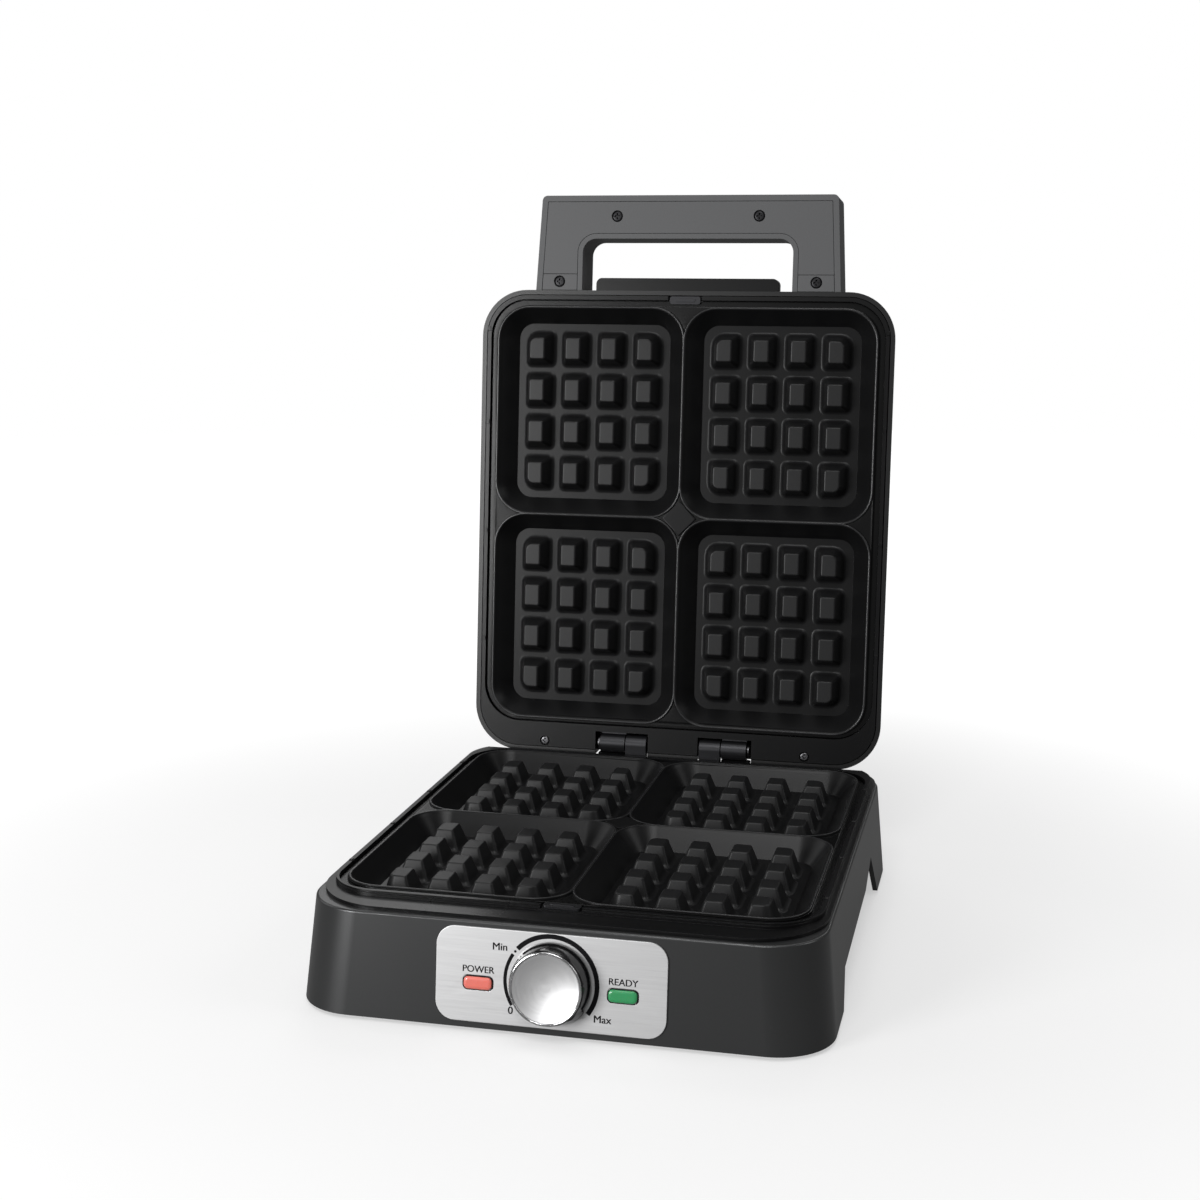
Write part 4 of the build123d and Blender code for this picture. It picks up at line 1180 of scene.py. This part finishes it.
def floor_finish(reach):
    """White paper that fades into the white background towards its edge."""
    finish, tree, shader, coordinates = blank_finish("floor_paper")
    seen = add(tree, "ShaderNodeLightPath").outputs["Is Camera Ray"]
    pale = add(tree, "ShaderNodeMapRange", {"Value": seen, "To Min": 0.3, "To Max": 0.9}).outputs[0]
    tree.links.new(pale, shader.inputs["Base Color"])
    shader.inputs["Roughness"].default_value = 0.9
    shader.inputs["Specular IOR Level"].default_value = 0.0
    away = add(tree, "ShaderNodeVectorMath", {0: coordinates}, operation="LENGTH").outputs["Value"]
    fade = add(tree, "ShaderNodeMapRange", {
        "Value": away, "From Min": reach * 0.08, "From Max": reach * 0.27, "To Min": 0.45,
    }, interpolation_type="SMOOTHERSTEP").outputs[0]
    strength = add(tree, "ShaderNodeMapRange", {"Value": seen, "To Min": 0.15, "To Max": 1.12}).outputs[0]
    glow = add(tree, "ShaderNodeEmission", {"Color": (1, 1, 1, 1), "Strength": strength})
    mixed = add(tree, "ShaderNodeMixShader", {0: fade, 1: shader.outputs[0], 2: glow.outputs[0]})
    tree.links.new(mixed.outputs[0], tree.nodes["Material Output"].inputs["Surface"])
    return finish


class WAFFLE_OT_studio(bpy.types.Operator):
    """Sets up the pale floor, the soft lights and the camera"""

    bl_idname = "waffle.studio"
    bl_label = "Studio"

    def execute(self, context):
        scene, studio = context.scene, context.scene.waffle_studio
        mesh = bpy.data.meshes.new("floor")
        edge = circle_loop(studio.floor, 0, 64)
        mesh.from_pydata(edge, [], [tuple(range(64))])
        floor = bpy.data.objects.new("floor", mesh)
        scene.collection.objects.link(floor)
        mesh.materials.append(floor_finish(studio.floor))

        world = bpy.data.worlds.new("studio")
        scene.world = world
        world.use_nodes = True
        tree = world.node_tree
        tree.nodes.clear()
        seen = add(tree, "ShaderNodeBackground", {"Color": (1, 1, 1, 1), "Strength": studio.sky})
        lit = add(tree, "ShaderNodeBackground", {"Color": (1, 1, 1, 1), "Strength": studio.fill})
        camera_ray = add(tree, "ShaderNodeLightPath").outputs["Is Camera Ray"]
        mixed = add(tree, "ShaderNodeMixShader", {0: camera_ray, 1: lit.outputs[0], 2: seen.outputs[0]})
        add(tree, "ShaderNodeOutputWorld", {"Surface": mixed.outputs[0]})
        scene.view_settings.view_transform = "Standard"

        for name, azimuth, elevation, distance, size, share in (
            ("key_light", -34, 9, 1.95, 0.7, 0.95), ("front_light", 0, 50, 2.4, 0.9, 0.62),
            ("top_light", 0, 86, 2.2, 1.8, 0.35), ("right_light", 92, 34, 2.2, 1.0, 0.22),
            ("left_light", -100, 32, 2.2, 1.3, 0.2), ("rear_light", 190, 38, 2.3, 1.5, 0.5),
        ):
            softbox(name, azimuth, elevation, distance, size, share * studio.key)

        camera = bpy.data.cameras.new("camera")
        camera.lens, camera.sensor_width = studio.lens, 36
        camera.clip_start, camera.clip_end = 0.01, 50
        holder = bpy.data.objects.new("camera", camera)
        scene.collection.objects.link(holder)
        holder.location = studio.camera
        level, tilt = studio.azimuth, studio.elevation
        look = Vector((-sin(level) * cos(tilt), cos(level) * cos(tilt), -sin(tilt)))
        holder.rotation_euler = look.to_track_quat("-Z", "Y").to_euler()
        scene.camera = holder
        return {"FINISHED"}


# ------------------------------------------------------------------ add-on
groups = {
    "waffle_plate": WAFFLE_PG_plate,
    "waffle_pegs": WAFFLE_PG_pegs,
    "waffle_dial": WAFFLE_PG_dial,
    "waffle_print": WAFFLE_PG_print,
    "waffle_lights": WAFFLE_PG_lights,
    "waffle_finish": WAFFLE_PG_finish,
    "waffle_studio": WAFFLE_PG_studio,
}
operators = (
    WAFFLE_OT_cooking_plates,
    WAFFLE_OT_pegs,
    WAFFLE_OT_dial,
    WAFFLE_OT_panel,
    WAFFLE_OT_lights,
    WAFFLE_OT_print,
    WAFFLE_OT_screws,
    WAFFLE_OT_rim_stops,
    WAFFLE_OT_hinge_shrouds,
    WAFFLE_OT_cad_parts,
    WAFFLE_OT_studio,
)


class WAFFLE_PT_panel(bpy.types.Panel):
    """Lists the steps that build the waffle maker"""

    bl_idname = "WAFFLE_PT_panel"
    bl_label = "Waffle maker"
    bl_space_type = "VIEW_3D"
    bl_region_type = "UI"
    bl_category = "Waffle maker"

    def draw(self, context):
        for operator in operators:
            self.layout.operator(operator.bl_idname)


def register():
    for group in groups.values():
        bpy.utils.register_class(group)
    for name, group in groups.items():
        setattr(bpy.types.Scene, name, PointerProperty(type=group))
    for operator in operators:
        bpy.utils.register_class(operator)
    bpy.utils.register_class(WAFFLE_PT_panel)


def unregister():
    bpy.utils.unregister_class(WAFFLE_PT_panel)
    for operator in reversed(operators):
        bpy.utils.unregister_class(operator)
    for name, group in groups.items():
        delattr(bpy.types.Scene, name)
        bpy.utils.unregister_class(group)


def main():
    register()
    for operator in operators:
        getattr(bpy.ops.waffle, operator.bl_idname.removeprefix("waffle."))()


if __name__ == "__main__":
    main()
